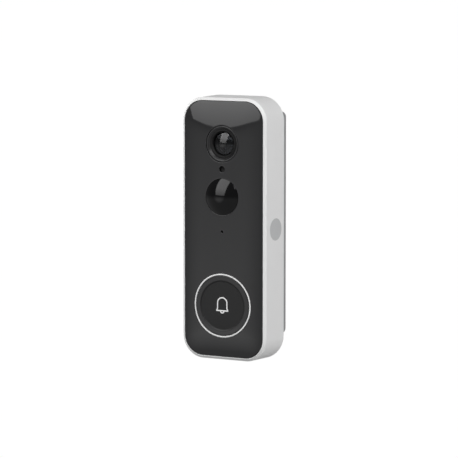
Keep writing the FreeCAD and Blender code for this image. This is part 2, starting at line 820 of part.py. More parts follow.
def place_badge(item, depth):
    """Stands a cylinder in the drafted side, from a depth under its surface outwards."""
    item.Placement = Placement(Vector(0, 0, 0), Rotation(0, 90, 0))
    item.setExpression("Radius", "dims.badge_diameter / 2")
    item.setExpression("Height", "dims.badge_thickness")
    item.setExpression("Placement.Base.x", f"place.badge_x - ({depth}) * cos(place.draft_angle)")
    item.setExpression("Placement.Base.y", f"-place.level_badge + ({depth}) * sin(place.draft_angle)")
    item.setExpression("Placement.Base.z", "place.high_body + dims.badge_rise")
    item.setExpression("Placement.Rotation.Yaw", "-place.draft_angle")


def side_badge():
    """A plain round disc let into the housing's right-hand side."""
    badge = doc.addObject("Part::Cylinder", "side_badge")
    place_badge(badge, "dims.badge_thickness - dims.badge_proud")
    node(badge, "side_badge")


def rear_cover():
    """Closes the back; its bulge holds the battery and terminals, its hooks hold the wall plate."""
    body = new_body("rear_cover")
    centre = ("0", "place.high_body")
    outline = rounded(
        facing(body, "outline", "place.level_back", *centre),
        "place.seat_width - 2 * dims.cover_gap",
        "place.seat_height - 2 * dims.cover_gap",
        "place.seat_corner - dims.cover_gap",
    )
    pad(body, "plate", outline, "dims.cover_thickness")
    bulge = rounded(
        facing(body, "bulge", "place.level_bulge", "0", "(place.bulge_top + place.bulge_foot) / 2"),
        "place.bulge_width",
        "place.bulge_top - place.bulge_foot",
        "dims.bulge_corner",
    )
    pad(body, "battery_bulge", bulge, "place.level_back - place.level_bulge")
    well = rounded(
        facing(body, "well", "place.level_cover", "0", "(place.well_top + place.well_foot) / 2"),
        "place.well_width",
        "place.well_top - place.well_foot",
        "dims.bulge_corner - dims.bulge_wall",
    )
    pocket(body, "battery_well", well, "place.level_cover - place.level_bulge_floor")
    recess = rounded(
        facing(body, "recess", "place.level_terminal", "0", "place.high_terminal"),
        "dims.terminal_recess_width",
        "dims.terminal_recess_height",
        "dims.bulge_wall / 2",
    )
    pocket(body, "terminal_recess", recess, "dims.terminal_recess")
    for side in ("-", ""):
        name = "left" if side else "right"
        hole = circle(
            facing(
                body, "terminal_" + name, "place.level_cover",
                f"{side}dims.terminal_spacing / 2", "place.high_terminal",
            ),
            "dims.terminal_screw_diameter",
        )
        pocket(body, "terminal_hole_" + name, hole, "place.level_cover - place.level_terminal")
        hook = sketch_on(body, "hook_" + name, "YZ_Plane", "0", "0", f"{side}dims.hook_spacing / 2")
        polygon(
            hook,
            [
                ("-place.level_back", "place.hook_foot"),
                ("-place.level_hook", "place.hook_foot"),
                ("-place.level_hook", "place.hook_top"),
                ("-place.level_hook - dims.hook_thickness", "place.hook_top"),
                ("-place.level_hook - dims.hook_thickness", "place.hook_foot + dims.hook_leg"),
                ("-place.level_back", "place.hook_foot + dims.hook_leg"),
            ],
        )
        pad(body, "wall_hook_" + name, hook, "dims.hook_width", both=True)
    keeper = sketch_on(body, "keeper", "YZ_Plane", "0", "0", "0")
    polygon(
        keeper,
        [
            ("-place.level_back", "place.keeper_foot"),
            ("-place.level_keeper - dims.keeper_thickness", "place.keeper_foot"),
            ("-place.level_keeper - dims.keeper_thickness", "place.keeper_foot - dims.keeper_drop"),
            ("-place.level_keeper", "place.keeper_foot - dims.keeper_drop"),
            ("-place.level_keeper", "place.keeper_foot + dims.keeper_thickness"),
            ("-place.level_back", "place.keeper_foot + dims.keeper_thickness"),
        ],
    )
    pad(body, "catch_keeper", keeper, "dims.keeper_width", both=True)
    for index, (side, end) in enumerate(signs()):
        spot = (f"{side}place.boss_x", f"place.high_body + {end}place.boss_z")
        hole = circle(facing(body, f"hole_{index}", "place.level_cover", *spot), "dims.cover_screw_hole")
        pocket(body, f"screw_hole_{index}", hole, "dims.cover_thickness")
        sink = circle(
            facing(body, f"sink_{index}", "place.level_back + dims.cover_screw_head_height", *spot),
            "dims.cover_screw_head + 2 * dims.cover_gap",
        )
        pocket(body, f"head_sink_{index}", sink, "dims.cover_screw_head_height")
    return body


def cover_screws():
    """Four countersunk-headed screws that close the housing from behind."""
    screws = []
    for index, (side, end) in enumerate(signs()):
        spot = (f"{side}place.boss_x", f"place.high_body + {end}place.boss_z")
        head = disc(
            f"cover_head_{index}",
            "dims.cover_screw_head",
            "dims.cover_screw_head_height",
            "place.level_back + dims.cover_screw_head_height",
            *spot,
        )
        neck = disc(
            f"cover_neck_{index}",
            "dims.cover_screw_diameter",
            "place.level_seat - place.level_back",
            "place.level_seat",
            *spot,
        )
        thread = disc(
            f"cover_thread_{index}",
            "dims.pilot_diameter",
            "dims.cover_screw_grip - dims.screw_head_height / 2",
            "place.level_seat + dims.cover_screw_grip - dims.screw_head_height / 2",
            *spot,
        )
        screws.append(fuse(f"cover_screw_{index}", [head, neck, thread]))
    node(group("cover_screws", screws), "rear_cover_screws")


def rear_seal():
    """A rubber frame squeezed between the housing's seat and the rear cover."""
    body = new_body("rear_seal")
    centre = ("0", "place.high_body")
    outer = rounded(
        facing(body, "outer", "place.level_cover", *centre),
        "place.seat_width - 2 * dims.seal_inset",
        "place.seat_height - 2 * dims.seal_inset",
        "place.seat_corner - dims.seal_inset",
    )
    pad(body, "strip", outer, "dims.seal_thickness")
    inner = rounded(
        facing(body, "inner", "place.level_seat", *centre),
        "place.cavity_width + 2 * dims.seal_inset",
        "place.cavity_height + 2 * dims.seal_inset",
        "place.cavity_corner + dims.seal_inset",
    )
    pocket(body, "opening", inner, "dims.seal_thickness")


def terminals():
    """Two brass plates and two screws that take the wires of an existing bell."""
    plates = []
    screws = []
    for side in ("-", ""):
        name = "left" if side else "right"
        spot = (f"{side}dims.terminal_spacing / 2", "place.high_terminal")
        plate = block(
            "terminal_blank_" + name,
            "dims.terminal_plate_size",
            "dims.terminal_plate_size",
            "dims.terminal_plate_thickness",
            "place.level_terminal",
            *spot,
        )
        bore = disc(
            "terminal_bore_" + name,
            "dims.terminal_screw_diameter",
            "dims.terminal_plate_thickness",
            "place.level_terminal",
            *spot,
        )
        plates.append(cut("terminal_plate_" + name, plate, [bore]))
        face = "place.level_terminal - dims.terminal_plate_thickness"
        head = disc(
            "terminal_head_" + name, "dims.terminal_head_diameter", "dims.terminal_head_height", face, *spot
        )
        shank = disc(
            "terminal_shank_" + name,
            "dims.terminal_screw_diameter",
            "dims.terminal_screw_length",
            f"{face} + dims.terminal_screw_length",
            *spot,
        )
        groove = block(
            "terminal_groove_" + name,
            "dims.terminal_head_diameter",
            "dims.terminal_plate_thickness",
            "dims.terminal_head_height",
            f"{face} - dims.terminal_head_height / 2",
            *spot,
        )
        screws.append(
            cut("terminal_screw_" + name, fuse("terminal_blank_screw_" + name, [head, shank]), [groove])
        )
    node(group("terminal_plate_pair", plates), "terminal_plates")
    node(group("terminal_screw_pair", screws), "terminal_screws")


# Front panel and what shows through it


def front_panel():
    """A crowned glossy cover with a constant skin and an opening for each thing behind it."""
    body = new_body("front_panel")
    centre = ("0", "place.high_body")
    size = ("place.panel_width", "place.panel_height", "place.panel_corner")
    inset = [f"{value} - {share} * dims.panel_shoulder" for value, share in zip(size, (2, 2, 1))]
    outline = rounded(facing(body, "outline", "place.level_panel_back", *centre), *size)
    pad(body, "slab", outline, "dims.panel_edge")
    edge = rounded(facing(body, "edge", "place.level_rim", *centre), *size)
    plateau = rounded(facing(body, "plateau", "place.level_crown", *centre), *inset)
    doc.recompute()
    crown = body.newObject("PartDesign::AdditiveLoft", "crown")
    crown.Profile = edge
    crown.Sections = [plateau]
    crown.Ruled = True
    doc.recompute()
    hollow = rounded(facing(body, "hollow", "place.level_skin", *centre), *inset)
    pocket(body, "skin_hollow", hollow, "place.level_skin - place.level_panel_back")
    openings = {
        "camera": ("dims.bezel_diameter + 2 * dims.hole_gap", "place.high_camera"),
        "light": ("dims.light_pipe_diameter", "place.high_light"),
        "dome": ("dims.dome_diameter + 2 * dims.hole_gap", "place.high_dome"),
        "mic": ("dims.mic_hole", "place.high_mic"),
        "ring": ("dims.ring_diameter", "place.high_button"),
    }
    for name, (diameter, height) in openings.items():
        sketch = circle(facing(body, name, "place.level_crown", "0", height), diameter)
        pocket(body, name + "_opening", sketch, "place.level_crown - place.level_panel_back")


def camera_bezel():
    """A sloping ring that leads down to the lens and stands on the chassis."""
    top = "place.level_crown - dims.bezel_sunk"
    spot = ("0", "place.high_camera")
    tube = disc("bezel_blank", "dims.bezel_diameter", f"{top} - place.level_chassis", top, *spot)
    bore = disc(
        "bezel_bore",
        "dims.barrel_diameter + 2 * dims.hole_gap",
        f"{top} - place.level_chassis",
        top,
        *spot,
    )
    dish = doc.addObject("Part::Cone", "bezel_dish")
    dish.Placement = Placement(Vector(0, 0, 0), Rotation(Vector(1, 0, 0), 90))
    dish.setExpression("Radius1", "dims.barrel_diameter / 2 + dims.hole_gap")
    dish.setExpression("Radius2", "dims.bezel_diameter / 2 - dims.bezel_sunk")
    dish.setExpression("Height", "dims.bezel_slope")
    dish.setExpression("Placement.Base.y", f"dims.bezel_slope - ({top})")
    dish.setExpression("Placement.Base.z", "place.high_camera")
    node(cut("bezel_cut", tube, [bore, dish]), "camera_bezel")


def lens():
    """The threaded barrel with its front glass and an inner lens."""
    spot = ("0", "place.high_camera")
    collar = "place.level_barrel - place.level_thread"
    flange = disc("barrel_flange", "dims.barrel_diameter", collar, "place.level_barrel", *spot)
    thread = disc(
        "barrel_thread", "dims.thread_diameter", "dims.thread_length", "place.level_thread", *spot
    )
    whole = f"{collar} + dims.thread_length"
    bore = disc("barrel_bore_disc", "dims.barrel_bore", whole, "place.level_barrel", *spot)
    seat = disc(
        "glass_seat", "dims.glass_diameter", "dims.glass_edge + dims.bezel_sunk",
        "place.level_barrel", *spot,
    )
    barrel = fuse("barrel_blank", [flange, thread])
    node(cut("barrel_cut", barrel, [bore, seat]), "lens_barrel")
    edge = "place.level_barrel - dims.bezel_sunk"
    radius = "((dims.glass_diameter / 2) ^ 2 + dims.glass_rise ^ 2) / (2 * dims.glass_rise)"
    sphere = ball("glass_sphere", radius, f"{edge} + dims.glass_rise - {radius}", *spot)
    column = disc(
        "glass_column", "dims.glass_diameter",
        "dims.glass_edge + dims.glass_rise", f"{edge} + dims.glass_rise", *spot
    )
    node(common("glass_common", [sphere, column]), "lens_glass")
    disc_lens = disc(
        "inner_lens_disc", "dims.barrel_bore", "dims.lens_thickness", "place.level_thread", *spot
    )
    node(disc_lens, "inner_lens")


def camera_module():
    """The holder that the barrel screws into, its board with the image sensor, and two screws."""
    spot = ("0", "place.high_camera")
    depth = "place.level_chassis_back - place.level_holder_back"
    core = block(
        "holder_core", "dims.holder_size", "dims.holder_size", depth, "place.level_chassis_back", *spot
    )
    ears = block(
        "holder_ears", "dims.ear_width", "dims.ear_height",
        "dims.ear_thickness", "place.level_chassis_back", *spot
    )
    bore = disc("holder_bore", "dims.thread_diameter", depth, "place.level_chassis_back", *spot)
    tools = [bore]
    screws = []
    for side in ("-", ""):
        name = "left" if side else "right"
        at = (f"{side}(dims.ear_width / 2 - dims.ear_screw_inset)", "place.high_camera")
        reach = "dims.chassis_thickness + dims.ear_thickness"
        tools.append(disc("ear_hole_" + name, "dims.screw_diameter", reach, "place.level_chassis", *at))
        shank = disc("camera_shank_" + name, "dims.screw_diameter", reach, "place.level_chassis", *at)
        head = disc(
            "camera_head_" + name,
            "dims.screw_head",
            "dims.screw_head_height",
            "place.level_chassis + dims.screw_head_height",
            *at,
        )
        screws.append(fuse("camera_screw_" + name, [head, shank]))
    node(cut("holder_cut", fuse("holder_blank", [core, ears]), tools), "camera_holder")
    node(group("camera_screw_pair", screws), "camera_screws")
    node(
        block(
            "camera_board_block",
            "dims.camera_board_size",
            "dims.camera_board_size",
            "dims.board_thickness",
            "place.level_holder_back",
            *spot,
        ),
        "camera_board",
    )
    node(
        block(
            "image_sensor_block",
            "dims.image_sensor_width",
            "dims.image_sensor_height",
            "dims.image_sensor_thickness",
            "place.level_sensor",
            *spot,
        ),
        "image_sensor",
    )


def light_sensor():
    """A dark light pipe behind its hole in the panel, and the sensor chip that it ends above."""
    spot = ("0", "place.high_light")
    top = "place.level_crown - dims.light_pipe_sunk"
    chip_top = "place.level_board + dims.chip_thickness"
    node(
        disc("pipe_disc", "dims.light_pipe_diameter", f"{top} - ({chip_top}) - dims.hole_gap", top, *spot),
        "light_pipe",
    )
    node(
        block("light_chip", "dims.chip_size", "dims.chip_size", "dims.chip_thickness", chip_top, *spot),
        "light_sensor",
    )


def motion_sensor():
    """The domed lens that stands out of the panel, and the metal-can sensor under it."""
    spot = ("0", "place.high_dome")
    radius = "((dims.dome_diameter / 2) ^ 2 + dims.dome_rise ^ 2) / (2 * dims.dome_rise)"
    centre = f"place.level_crown + dims.dome_rise - {radius}"
    height = "place.level_crown + dims.dome_rise - place.level_chassis"
    shell = common(
        "dome_shell",
        [
            ball("dome_sphere", radius, centre, *spot),
            disc("dome_column", "dims.dome_diameter", height, "place.level_crown + dims.dome_rise", *spot),
        ],
    )
    inside = common(
        "dome_inside",
        [
            ball("dome_inner_sphere", f"{radius} - dims.dome_wall", centre, *spot),
            disc(
                "dome_inner_column",
                "dims.dome_diameter - 2 * dims.dome_wall",
                height,
                "place.level_crown + dims.dome_rise",
                *spot,
            ),
        ],
    )
    node(cut("dome_cut", shell, [inside]), "pir_dome")
    can_top = "place.level_board + dims.motion_can_height"
    can = disc("can_disc", "dims.motion_can_diameter", "dims.motion_can_height", can_top, *spot)
    flange_top = "place.level_board + dims.motion_flange_height"
    flange = disc(
        "can_flange", "dims.motion_flange_diameter", "dims.motion_flange_height", flange_top, *spot
    )
    node(fuse("can_fuse", [can, flange]), "pir_sensor")


def microphone():
    """The microphone chip, and the rubber boot that seals it to its hole in the panel."""
    spot = ("0", "place.high_mic")
    chip_top = "place.level_board + dims.mic_thickness"
    node(
        block("mic_block", "dims.mic_width", "dims.mic_height", "dims.mic_thickness", chip_top, *spot),
        "microphone",
    )
    height = f"place.level_skin - ({chip_top})"
    tube = disc("boot_tube", "dims.mic_boot_diameter", height, "place.level_skin", *spot)
    bore = disc("boot_bore", "dims.mic_hole", height, "place.level_skin", *spot)
    node(cut("boot_cut", tube, [bore]), "microphone_boot")


def light_ring():
    """A frosted ring round the button, flush with the panel, that stands on the chassis."""
    spot = ("0", "place.high_button")
    height = "place.level_crown - place.level_chassis"
    tube = disc("ring_tube", "dims.ring_diameter", height, "place.level_crown", *spot)
    bore = disc("ring_bore", "place.ring_inner", height, "place.level_crown", *spot)
    node(cut("ring_cut", tube, [bore]), "light_ring")


def bell_outline(name, width):
    """A bell's outline as a solid: a half-round crown on a straight skirt."""
    front = "place.level_cap - dims.dish_depth"
    middle = "place.high_button - dims.icon_stroke"
    crown = disc(name + "_crown", width, "dims.icon_depth", front, "0", middle + " + dims.bell_skirt / 2")
    skirt = block(name + "_skirt", width, "dims.bell_skirt", "dims.icon_depth", front, "0", middle)
    return fuse(name, [crown, skirt])


def bell_icon():
    """A bell symbol, flush with the floor of the button's dish."""
    front = "place.level_cap - dims.dish_depth"
    depth = "dims.icon_depth"
    outer = bell_outline("bell_outer", "dims.bell_width")
    inner = bell_outline("bell_inner", "dims.bell_width - 2 * dims.icon_stroke")
    line = cut("bell_line", outer, [inner])
    foot = "place.high_button - dims.bell_skirt / 2 - dims.icon_stroke"
    base = block("bell_base_bar", "dims.bell_base", "dims.icon_stroke", depth, front, "0", foot)
    width = "dims.clapper_diameter"
    round_clapper = disc("clapper_disc", width, depth, front, "0", foot)
    below = block("clapper_half", width, width, depth, front, "0", f"{foot} - {width} / 2")
    clapper = common("clapper", [round_clapper, below])
    return node(fuse("bell_fuse", [line, base, clapper]), "bell_icon")


def button_cap(icon):
    """A round cap with a shallow dish, a stem to the switch and two barbed legs through the chassis."""
    spot = ("0", "place.high_button")
    blank = disc("cap_disc", "place.cap_diameter", "dims.button_thickness", "place.level_cap", *spot)
    radius = "((dims.dish_diameter / 2) ^ 2 + dims.dish_depth ^ 2) / (2 * dims.dish_depth)"
    dish = ball("dish_sphere", radius, f"place.level_cap - dims.dish_depth + {radius}", *spot)
    stem = disc(
        "cap_stem", "dims.stem_diameter",
        "place.level_cap_back - place.level_plunger", "place.level_cap_back", *spot
    )
    pieces = [cut("cap_dished", blank, [dish]), stem]
    for side in ("-", ""):
        name = "left" if side else "right"
        length = "place.level_cap_back - place.level_chassis_back + dims.barb_gap + dims.barb_height"
        at = f"{side}dims.leg_spacing / 2"
        leg = block(
            "leg_" + name, "dims.leg_thickness",
            "dims.leg_width", length, "place.level_cap_back", at, spot[1]
        )
        barb_at = f"{side}(dims.leg_spacing / 2 + dims.leg_thickness / 2 + dims.barb_reach / 2)"
        barb = block(
            "barb_" + name,
            "dims.barb_reach",
            "dims.leg_width",
            "dims.barb_height",
            "place.level_chassis_back - dims.barb_gap",
            barb_at,
            spot[1],
        )
        pieces += [leg, barb]
    node(cut("cap_cut", fuse("cap_fuse", pieces), [icon]), "button_cap")


def button_switch():
    """The silicone return pad, the switch on the board and the plunger that the cap's stem rests on."""
    spot = ("0", "place.high_button")
    height = "place.level_cap_back - place.level_chassis"
    outer = disc("pad_outer_disc", "dims.pad_outer", height, "place.level_cap_back", *spot)
    inner = disc("pad_inner_disc", "dims.pad_inner", height, "place.level_cap_back", *spot)
    node(cut("pad_cut", outer, [inner]), "button_return_pad")
    case = block(
        "switch_case", "dims.switch_size", "dims.switch_size",
        "dims.switch_height", "place.level_switch", *spot
    )
    bore_depth = "dims.plunger_depth + dims.button_travel + dims.plunger_gap"
    bore = disc(
        "switch_bore", "dims.plunger_diameter + 2 * dims.plunger_gap",
        bore_depth, "place.level_switch", *spot
    )
    node(cut("switch_cut", case, [bore]), "button_switch")
    length = "dims.plunger_stand + dims.plunger_depth"
    pin = disc("plunger_disc", "dims.plunger_diameter", length, "place.level_plunger", *spot)
    node(pin, "switch_plunger")


# Chassis, main board and what is on it


def chassis():
    """A moulded frame behind the panel that carries every front piece and the main board."""
    body = new_body("chassis")
    outline = rounded(
        facing(body, "outline", "place.level_chassis_back", "0", "place.high_body"),
        "place.cavity_width - 2 * dims.chassis_gap",
        "place.cavity_height - 2 * dims.chassis_gap",
        "place.cavity_corner - dims.chassis_gap",
    )
    pad(body, "frame", outline, "dims.chassis_thickness")
    for side in ("-", ""):
        for name, height in (("upper", "place.post_top"), ("lower", "place.post_foot")):
            tag = name + ("_left" if side else "_right")
            spot = (f"{side}place.post_x", height)
            post = circle(facing(body, "post_" + tag, "place.level_board", *spot), "dims.post_diameter")
            pad(body, "board_post_" + tag, post, "dims.post_height")
            pilot = circle(
                facing(body, "pilot_" + tag, "place.level_chassis", *spot), "dims.screw_diameter"
            )
            pocket(body, "board_pilot_" + tag, pilot, "dims.post_height + dims.chassis_thickness")
    openings = {
        "camera": ("dims.barrel_diameter", "0", "place.high_camera"),
        "light": ("dims.light_pipe_diameter", "0", "place.high_light"),
        "dome": ("dims.dome_window", "0", "place.high_dome"),
        "mic": ("dims.mic_boot_diameter", "0", "place.high_mic"),
        "switch": ("dims.switch_window", "0", "place.high_button"),
    }
    for side in ("-", ""):
        name = "_left" if side else "_right"
        ear = f"{side}(dims.ear_width / 2 - dims.ear_screw_inset)"
        openings["ear" + name] = ("dims.screw_diameter", ear, "place.high_camera")
        lamp = (f"{side}dims.infrared_spacing / 2", "place.high_light")
        openings["infrared" + name] = ("dims.infrared_diameter + 2 * dims.chassis_gap", *lamp)
    for index, (side, end) in enumerate(signs()):
        clear = "dims.boss_diameter + 2 * dims.chassis_gap"
        openings[f"boss_{index}"] = (clear, f"{side}place.boss_x", f"place.high_body + {end}place.boss_z")
    for name, (diameter, x, z) in openings.items():
        sketch = circle(facing(body, name, "place.level_chassis", x, z), diameter)
        pocket(body, name + "_opening", sketch, "dims.chassis_thickness")
    for side in ("-", ""):
        name = "left" if side else "right"
        at = f"{side}(dims.leg_spacing / 2 + dims.barb_reach / 2)"
        slot = facing(body, "leg_slot_" + name, "place.level_chassis", at, "place.high_button")
        rounded(
            slot,
            "dims.leg_thickness + dims.barb_reach + 2 * dims.chassis_gap",
            "dims.leg_width + 2 * dims.chassis_gap",
            "dims.chassis_gap",
        )
        pocket(body, "leg_opening_" + name, slot, "dims.chassis_thickness")
    for index in range(int(number("dims.lamp_count"))):
        sketch = circle(
            facing(body, f"lamp_{index}", "place.level_chassis", *lamp_spot(index)), "dims.chip_size"
        )
        pocket(body, f"lamp_hole_{index}", sketch, "dims.chassis_thickness")


def lamp_spot(index):
    """Where one of the ring's lamps lies, evenly spaced under the ring."""
    angle = f"(360 * ({index} + 0.5) / dims.lamp_count)"
    radius = "(dims.ring_diameter - dims.ring_width) / 2"
    return f"{radius} * cos({angle})", f"place.high_button + {radius} * sin({angle})"


def main_board():
    """The circuit board, with a window for the camera holder and four screws into the chassis."""
    body = new_body("main_board")
    outline = rounded(
        facing(body, "outline", "place.level_board_back", "0", "(place.board_top + place.board_foot) / 2"),
        "place.board_width",
        "place.board_top - place.board_foot",
        "dims.board_screw_inset",
    )
    pad(body, "laminate", outline, "dims.board_thickness")
    window = facing(body, "window", "place.level_board", "0", "place.high_camera")
    size = "dims.holder_size + 2 * dims.chassis_gap"
    rounded(window, size, size, "dims.chassis_gap")
    pocket(body, "camera_window", window, "dims.board_thickness")
    screws = []
    for side in ("-", ""):
        for name, height in (("upper", "place.post_top"), ("lower", "place.post_foot")):
            tag = name + ("_left" if side else "_right")
            spot = (f"{side}place.post_x", height)
            hole = circle(facing(body, "hole_" + tag, "place.level_board", *spot), "dims.screw_diameter")
            pocket(body, "screw_hole_" + tag, hole, "dims.board_thickness")
            shank = disc(
                "board_shank_" + tag,
                "dims.screw_diameter",
                "dims.board_thickness + dims.post_height + dims.chassis_thickness / 2",
                "place.level_board + dims.post_height + dims.chassis_thickness / 2",
                *spot,
            )
            head = disc(
                "board_head_" + tag, "dims.screw_head",
                "dims.screw_head_height", "place.level_board_back", *spot
            )
            screws.append(fuse("board_screw_" + tag, [head, shank]))
    node(group("board_screw_set", screws), "board_screws")


def board_parts():
    """The shield can, the ring's lamps, the infrared lamps and the antenna with its lead."""
    shield_z = "place.high_dome - dims.shield_height / 2"
    can = block(
        "shield_blank",
        "dims.shield_width",
        "dims.shield_height",
        "dims.shield_thickness",
        "place.level_board_back",
        "0",
        shield_z,
    )
    inside = block(
        "shield_inside",
        "dims.shield_width - 2 * dims.shield_wall",
        "dims.shield_height - 2 * dims.shield_wall",
        "dims.shield_thickness - dims.shield_wall",
        "place.level_board_back",
        "0",
        shield_z,
    )
    node(cut("shield_cut", can, [inside]), "shield_can")
    lamp_top = "place.level_board + dims.chip_thickness"
    lamps = []
    for index in range(int(number("dims.lamp_count"))):
        lamps.append(
            block(
                f"lamp_{index}", "dims.chip_size", "dims.chip_size", "dims.chip_thickness",
                lamp_top, *lamp_spot(index),
            )
        )
    node(group("lamp_set", lamps), "ring_lamps")
    infrared = []
    for side in ("-", ""):
        infrared.append(
            disc(
                "infrared_" + ("left" if side else "right"),
                "dims.infrared_diameter",
                "dims.infrared_height",
                "place.level_board + dims.infrared_height",
                f"{side}dims.infrared_spacing / 2",
                "place.high_light",
            )
        )
    node(group("infrared_set", infrared), "infrared_lamps")
    antenna_foot = number(
        "place.high_body + place.cavity_height / 2 - dims.chassis_gap - dims.antenna_height"
    )
    node(
        block(
            "antenna_block",
            "dims.antenna_width",
            "dims.antenna_height",
            "dims.antenna_thickness",
            "place.level_chassis_back",
            "0",
            "place.high_body + place.cavity_height / 2 - dims.chassis_gap - dims.antenna_height / 2",
        ),
        "antenna",
    )
    thick = number("dims.coax_diameter")
    across = number("dims.antenna_width / 4")
    front = number("place.level_chassis_back - dims.antenna_thickness") - thick / 2
    back = number("place.level_board_back") - thick / 2
    top = number("place.board_top")
    over = (antenna_foot + top) / 2
    route = [
        (across, -front, antenna_foot + number("dims.antenna_height / 2")),
        (across, -front, over),
        (across, -back, over),
        (across, -back, top - number("dims.antenna_height / 2")),
    ]
    node(lead("antenna_coax", route, thick), "antenna_lead")


# Battery, speaker and charging socket


def battery():
    """Two flat cells in the rear cover's well, with their foam, bracket, plug and two leads."""
    middle = "place.high_battery"
    height = "(place.battery_height - dims.cell_gap) / 2"
    cells = []
    for end in ("-", ""):
        name = "cell_" + ("low" if end else "high")
        at = f"{middle} + {end}(place.battery_height + dims.cell_gap) / 4"
        cell = block(
            name + "_block", "place.battery_width", height,
            "place.battery_thickness", "place.level_battery", "0", at
        )
        doc.recompute()
        smooth = doc.addObject("Part::Fillet", name)
        smooth.Base = cell
        upright = [
            index
            for index, edge in enumerate(cell.Shape.Edges, start=1)
            if abs(edge.Curve.Direction.y) > 0.9
        ]
        radius = number("dims.cell_corner")
        smooth.Edges = [(index, radius, radius) for index in upright]
        cells.append(smooth)
    node(group("cell_pair", cells), "battery_cells")
    node(
        block(
            "foam_block",
            "place.battery_width - 2 * dims.foam_inset",
            "place.battery_height - 2 * dims.foam_inset",
            "dims.foam_thickness",
            "place.level_bulge_floor + dims.foam_thickness",
            "0",
            middle,
        ),
        "battery_foam",
    )
    bridge = block(
        "bracket_bridge",
        "place.bracket_width",
        "place.battery_height / 2",
        "dims.bracket_thickness",
        "place.level_bracket",
        "0",
        middle,
    )
    feet = []
    for side in ("-", ""):
        feet.append(
            block(
                "bracket_foot_" + ("left" if side else "right"),
                "dims.bracket_foot",
                "place.battery_height / 2",
                "place.level_bracket - place.level_cover",
                "place.level_bracket",
                f"{side}(place.bracket_width - dims.bracket_foot) / 2",
                middle,
            )
        )
    node(fuse("bracket_fuse", [bridge, *feet]), "battery_bracket")
    plug_z = "place.battery_top + dims.plug_height"
    node(
        block(
            "plug_block",
            "dims.plug_width",
            "dims.plug_height",
            "dims.plug_thickness",
            "place.level_board_back",
            "dims.plug_offset",
            plug_z,
        ),
        "battery_plug",
    )
    leads = []
    for side in (-1, 1):
        across = number("dims.plug_offset") + side * number("dims.lead_spacing / 2")
        low = number("place.battery_top")
        rise = number("dims.plug_height / 2")
        start = number("place.level_battery - dims.lead_inset")
        stop = number("place.level_board_back - dims.plug_thickness")
        height = low + 2 * rise
        leads.append(
            lead(
                "battery_lead_" + ("left" if side < 0 else "right"),
                [(across, -start, low), (across, -start, height), (across, -stop, height)],
                number("dims.lead_diameter"),
            )
        )
    node(group("battery_lead_pair", leads), "battery_leads")


def speaker():
    """A small speaker that faces down through slots, with its gasket, mesh and two leads."""
    x = "dims.speaker_offset"
    front = "place.level_speaker + place.speaker_length / 2"
    node(
        block(
            "speaker_block",
            "dims.speaker_width",
            "dims.speaker_height",
            "place.speaker_length",
            front,
            x,
            "place.low_floor + dims.gasket_height + dims.speaker_height / 2",
        ),
        "speaker",
    )
    inner = ("dims.speaker_width - 2 * dims.gasket_wall", "place.speaker_length - 2 * dims.gasket_wall")
    frame = block(
        "gasket_blank",
        "dims.speaker_width",
        "dims.gasket_height",
        "place.speaker_length",
        front,
        x,
        "place.low_floor + dims.gasket_height / 2",
    )
    hole = block(
        "gasket_hole",
        inner[0],
        "dims.gasket_height",
        inner[1],
        f"{front} - dims.gasket_wall",
        x,
        "place.low_floor + dims.gasket_height / 2",
    )
    node(cut("gasket_cut", frame, [hole]), "speaker_gasket")
    node(
        block(
            "mesh_block",
            inner[0],
            "dims.mesh_thickness",
            inner[1],
            f"{front} - dims.gasket_wall",
            x,
            "place.low_floor + dims.mesh_thickness / 2",
        ),
        "speaker_mesh",
    )
    leads = []
    thick = number("dims.speaker_lead_diameter")
    top = number("place.low_floor + dims.gasket_height + dims.speaker_height")
    level = number("place.level_board_back") - thick / 2
    start = level - 2 * number("dims.board_thickness")
    bend = (top + number("place.board_foot")) / 2
    for side in (-1, 1):
        across = number(x) + side * number("dims.lead_spacing / 2")
        route = [
            (across, -start, top),
            (across, -start, bend),
            (across, -level, bend + number("dims.board_thickness")),
            (across, -level, number("place.board_foot") + number("dims.board_end_gap")),
        ]
        leads.append(lead("speaker_lead_" + ("left" if side < 0 else "right"), route, thick))
    node(group("speaker_lead_pair", leads), "speaker_leads")


def charging_socket():
    """The charging socket on its small board, mouth down above the port."""
    x = "-dims.socket_offset"
    foot = "place.low_floor + dims.socket_wall_gap"
    node(
        block(
            "socket_board_block",
            "dims.socket_board_width",
            "dims.socket_board_height",
            "dims.socket_board_thickness",
            "place.level_board_back",
            x,
            f"{foot} + dims.socket_board_height / 2",
        ),
        "charging_board",
    )
    front = "place.level_board_back - dims.socket_board_thickness"
    shell = block(
        "socket_blank",
        "dims.socket_width",
        "dims.socket_height",
        "dims.socket_thickness",
        front,
        x,
        f"{foot} + dims.socket_height / 2",
    )
    mouth = block(
        "socket_mouth",
        "dims.socket_width - 2 * dims.socket_wall",
        "dims.socket_height - dims.socket_wall",
        "dims.socket_thickness - 2 * dims.socket_wall",
        f"{front} - dims.socket_wall",
        x,
        f"{foot} + (dims.socket_height - dims.socket_wall) / 2",
    )
    tongue = block(
        "socket_tongue",
        "dims.tongue_width",
        "dims.tongue_length",
        "dims.tongue_thickness",
        "place.level_port + dims.tongue_thickness / 2",
        x,
        f"{foot} + dims.socket_height - dims.socket_wall - dims.tongue_length / 2",
    )
    node(fuse("socket_fuse", [cut("socket_cut", shell, [mouth]), tongue]), "charging_socket")


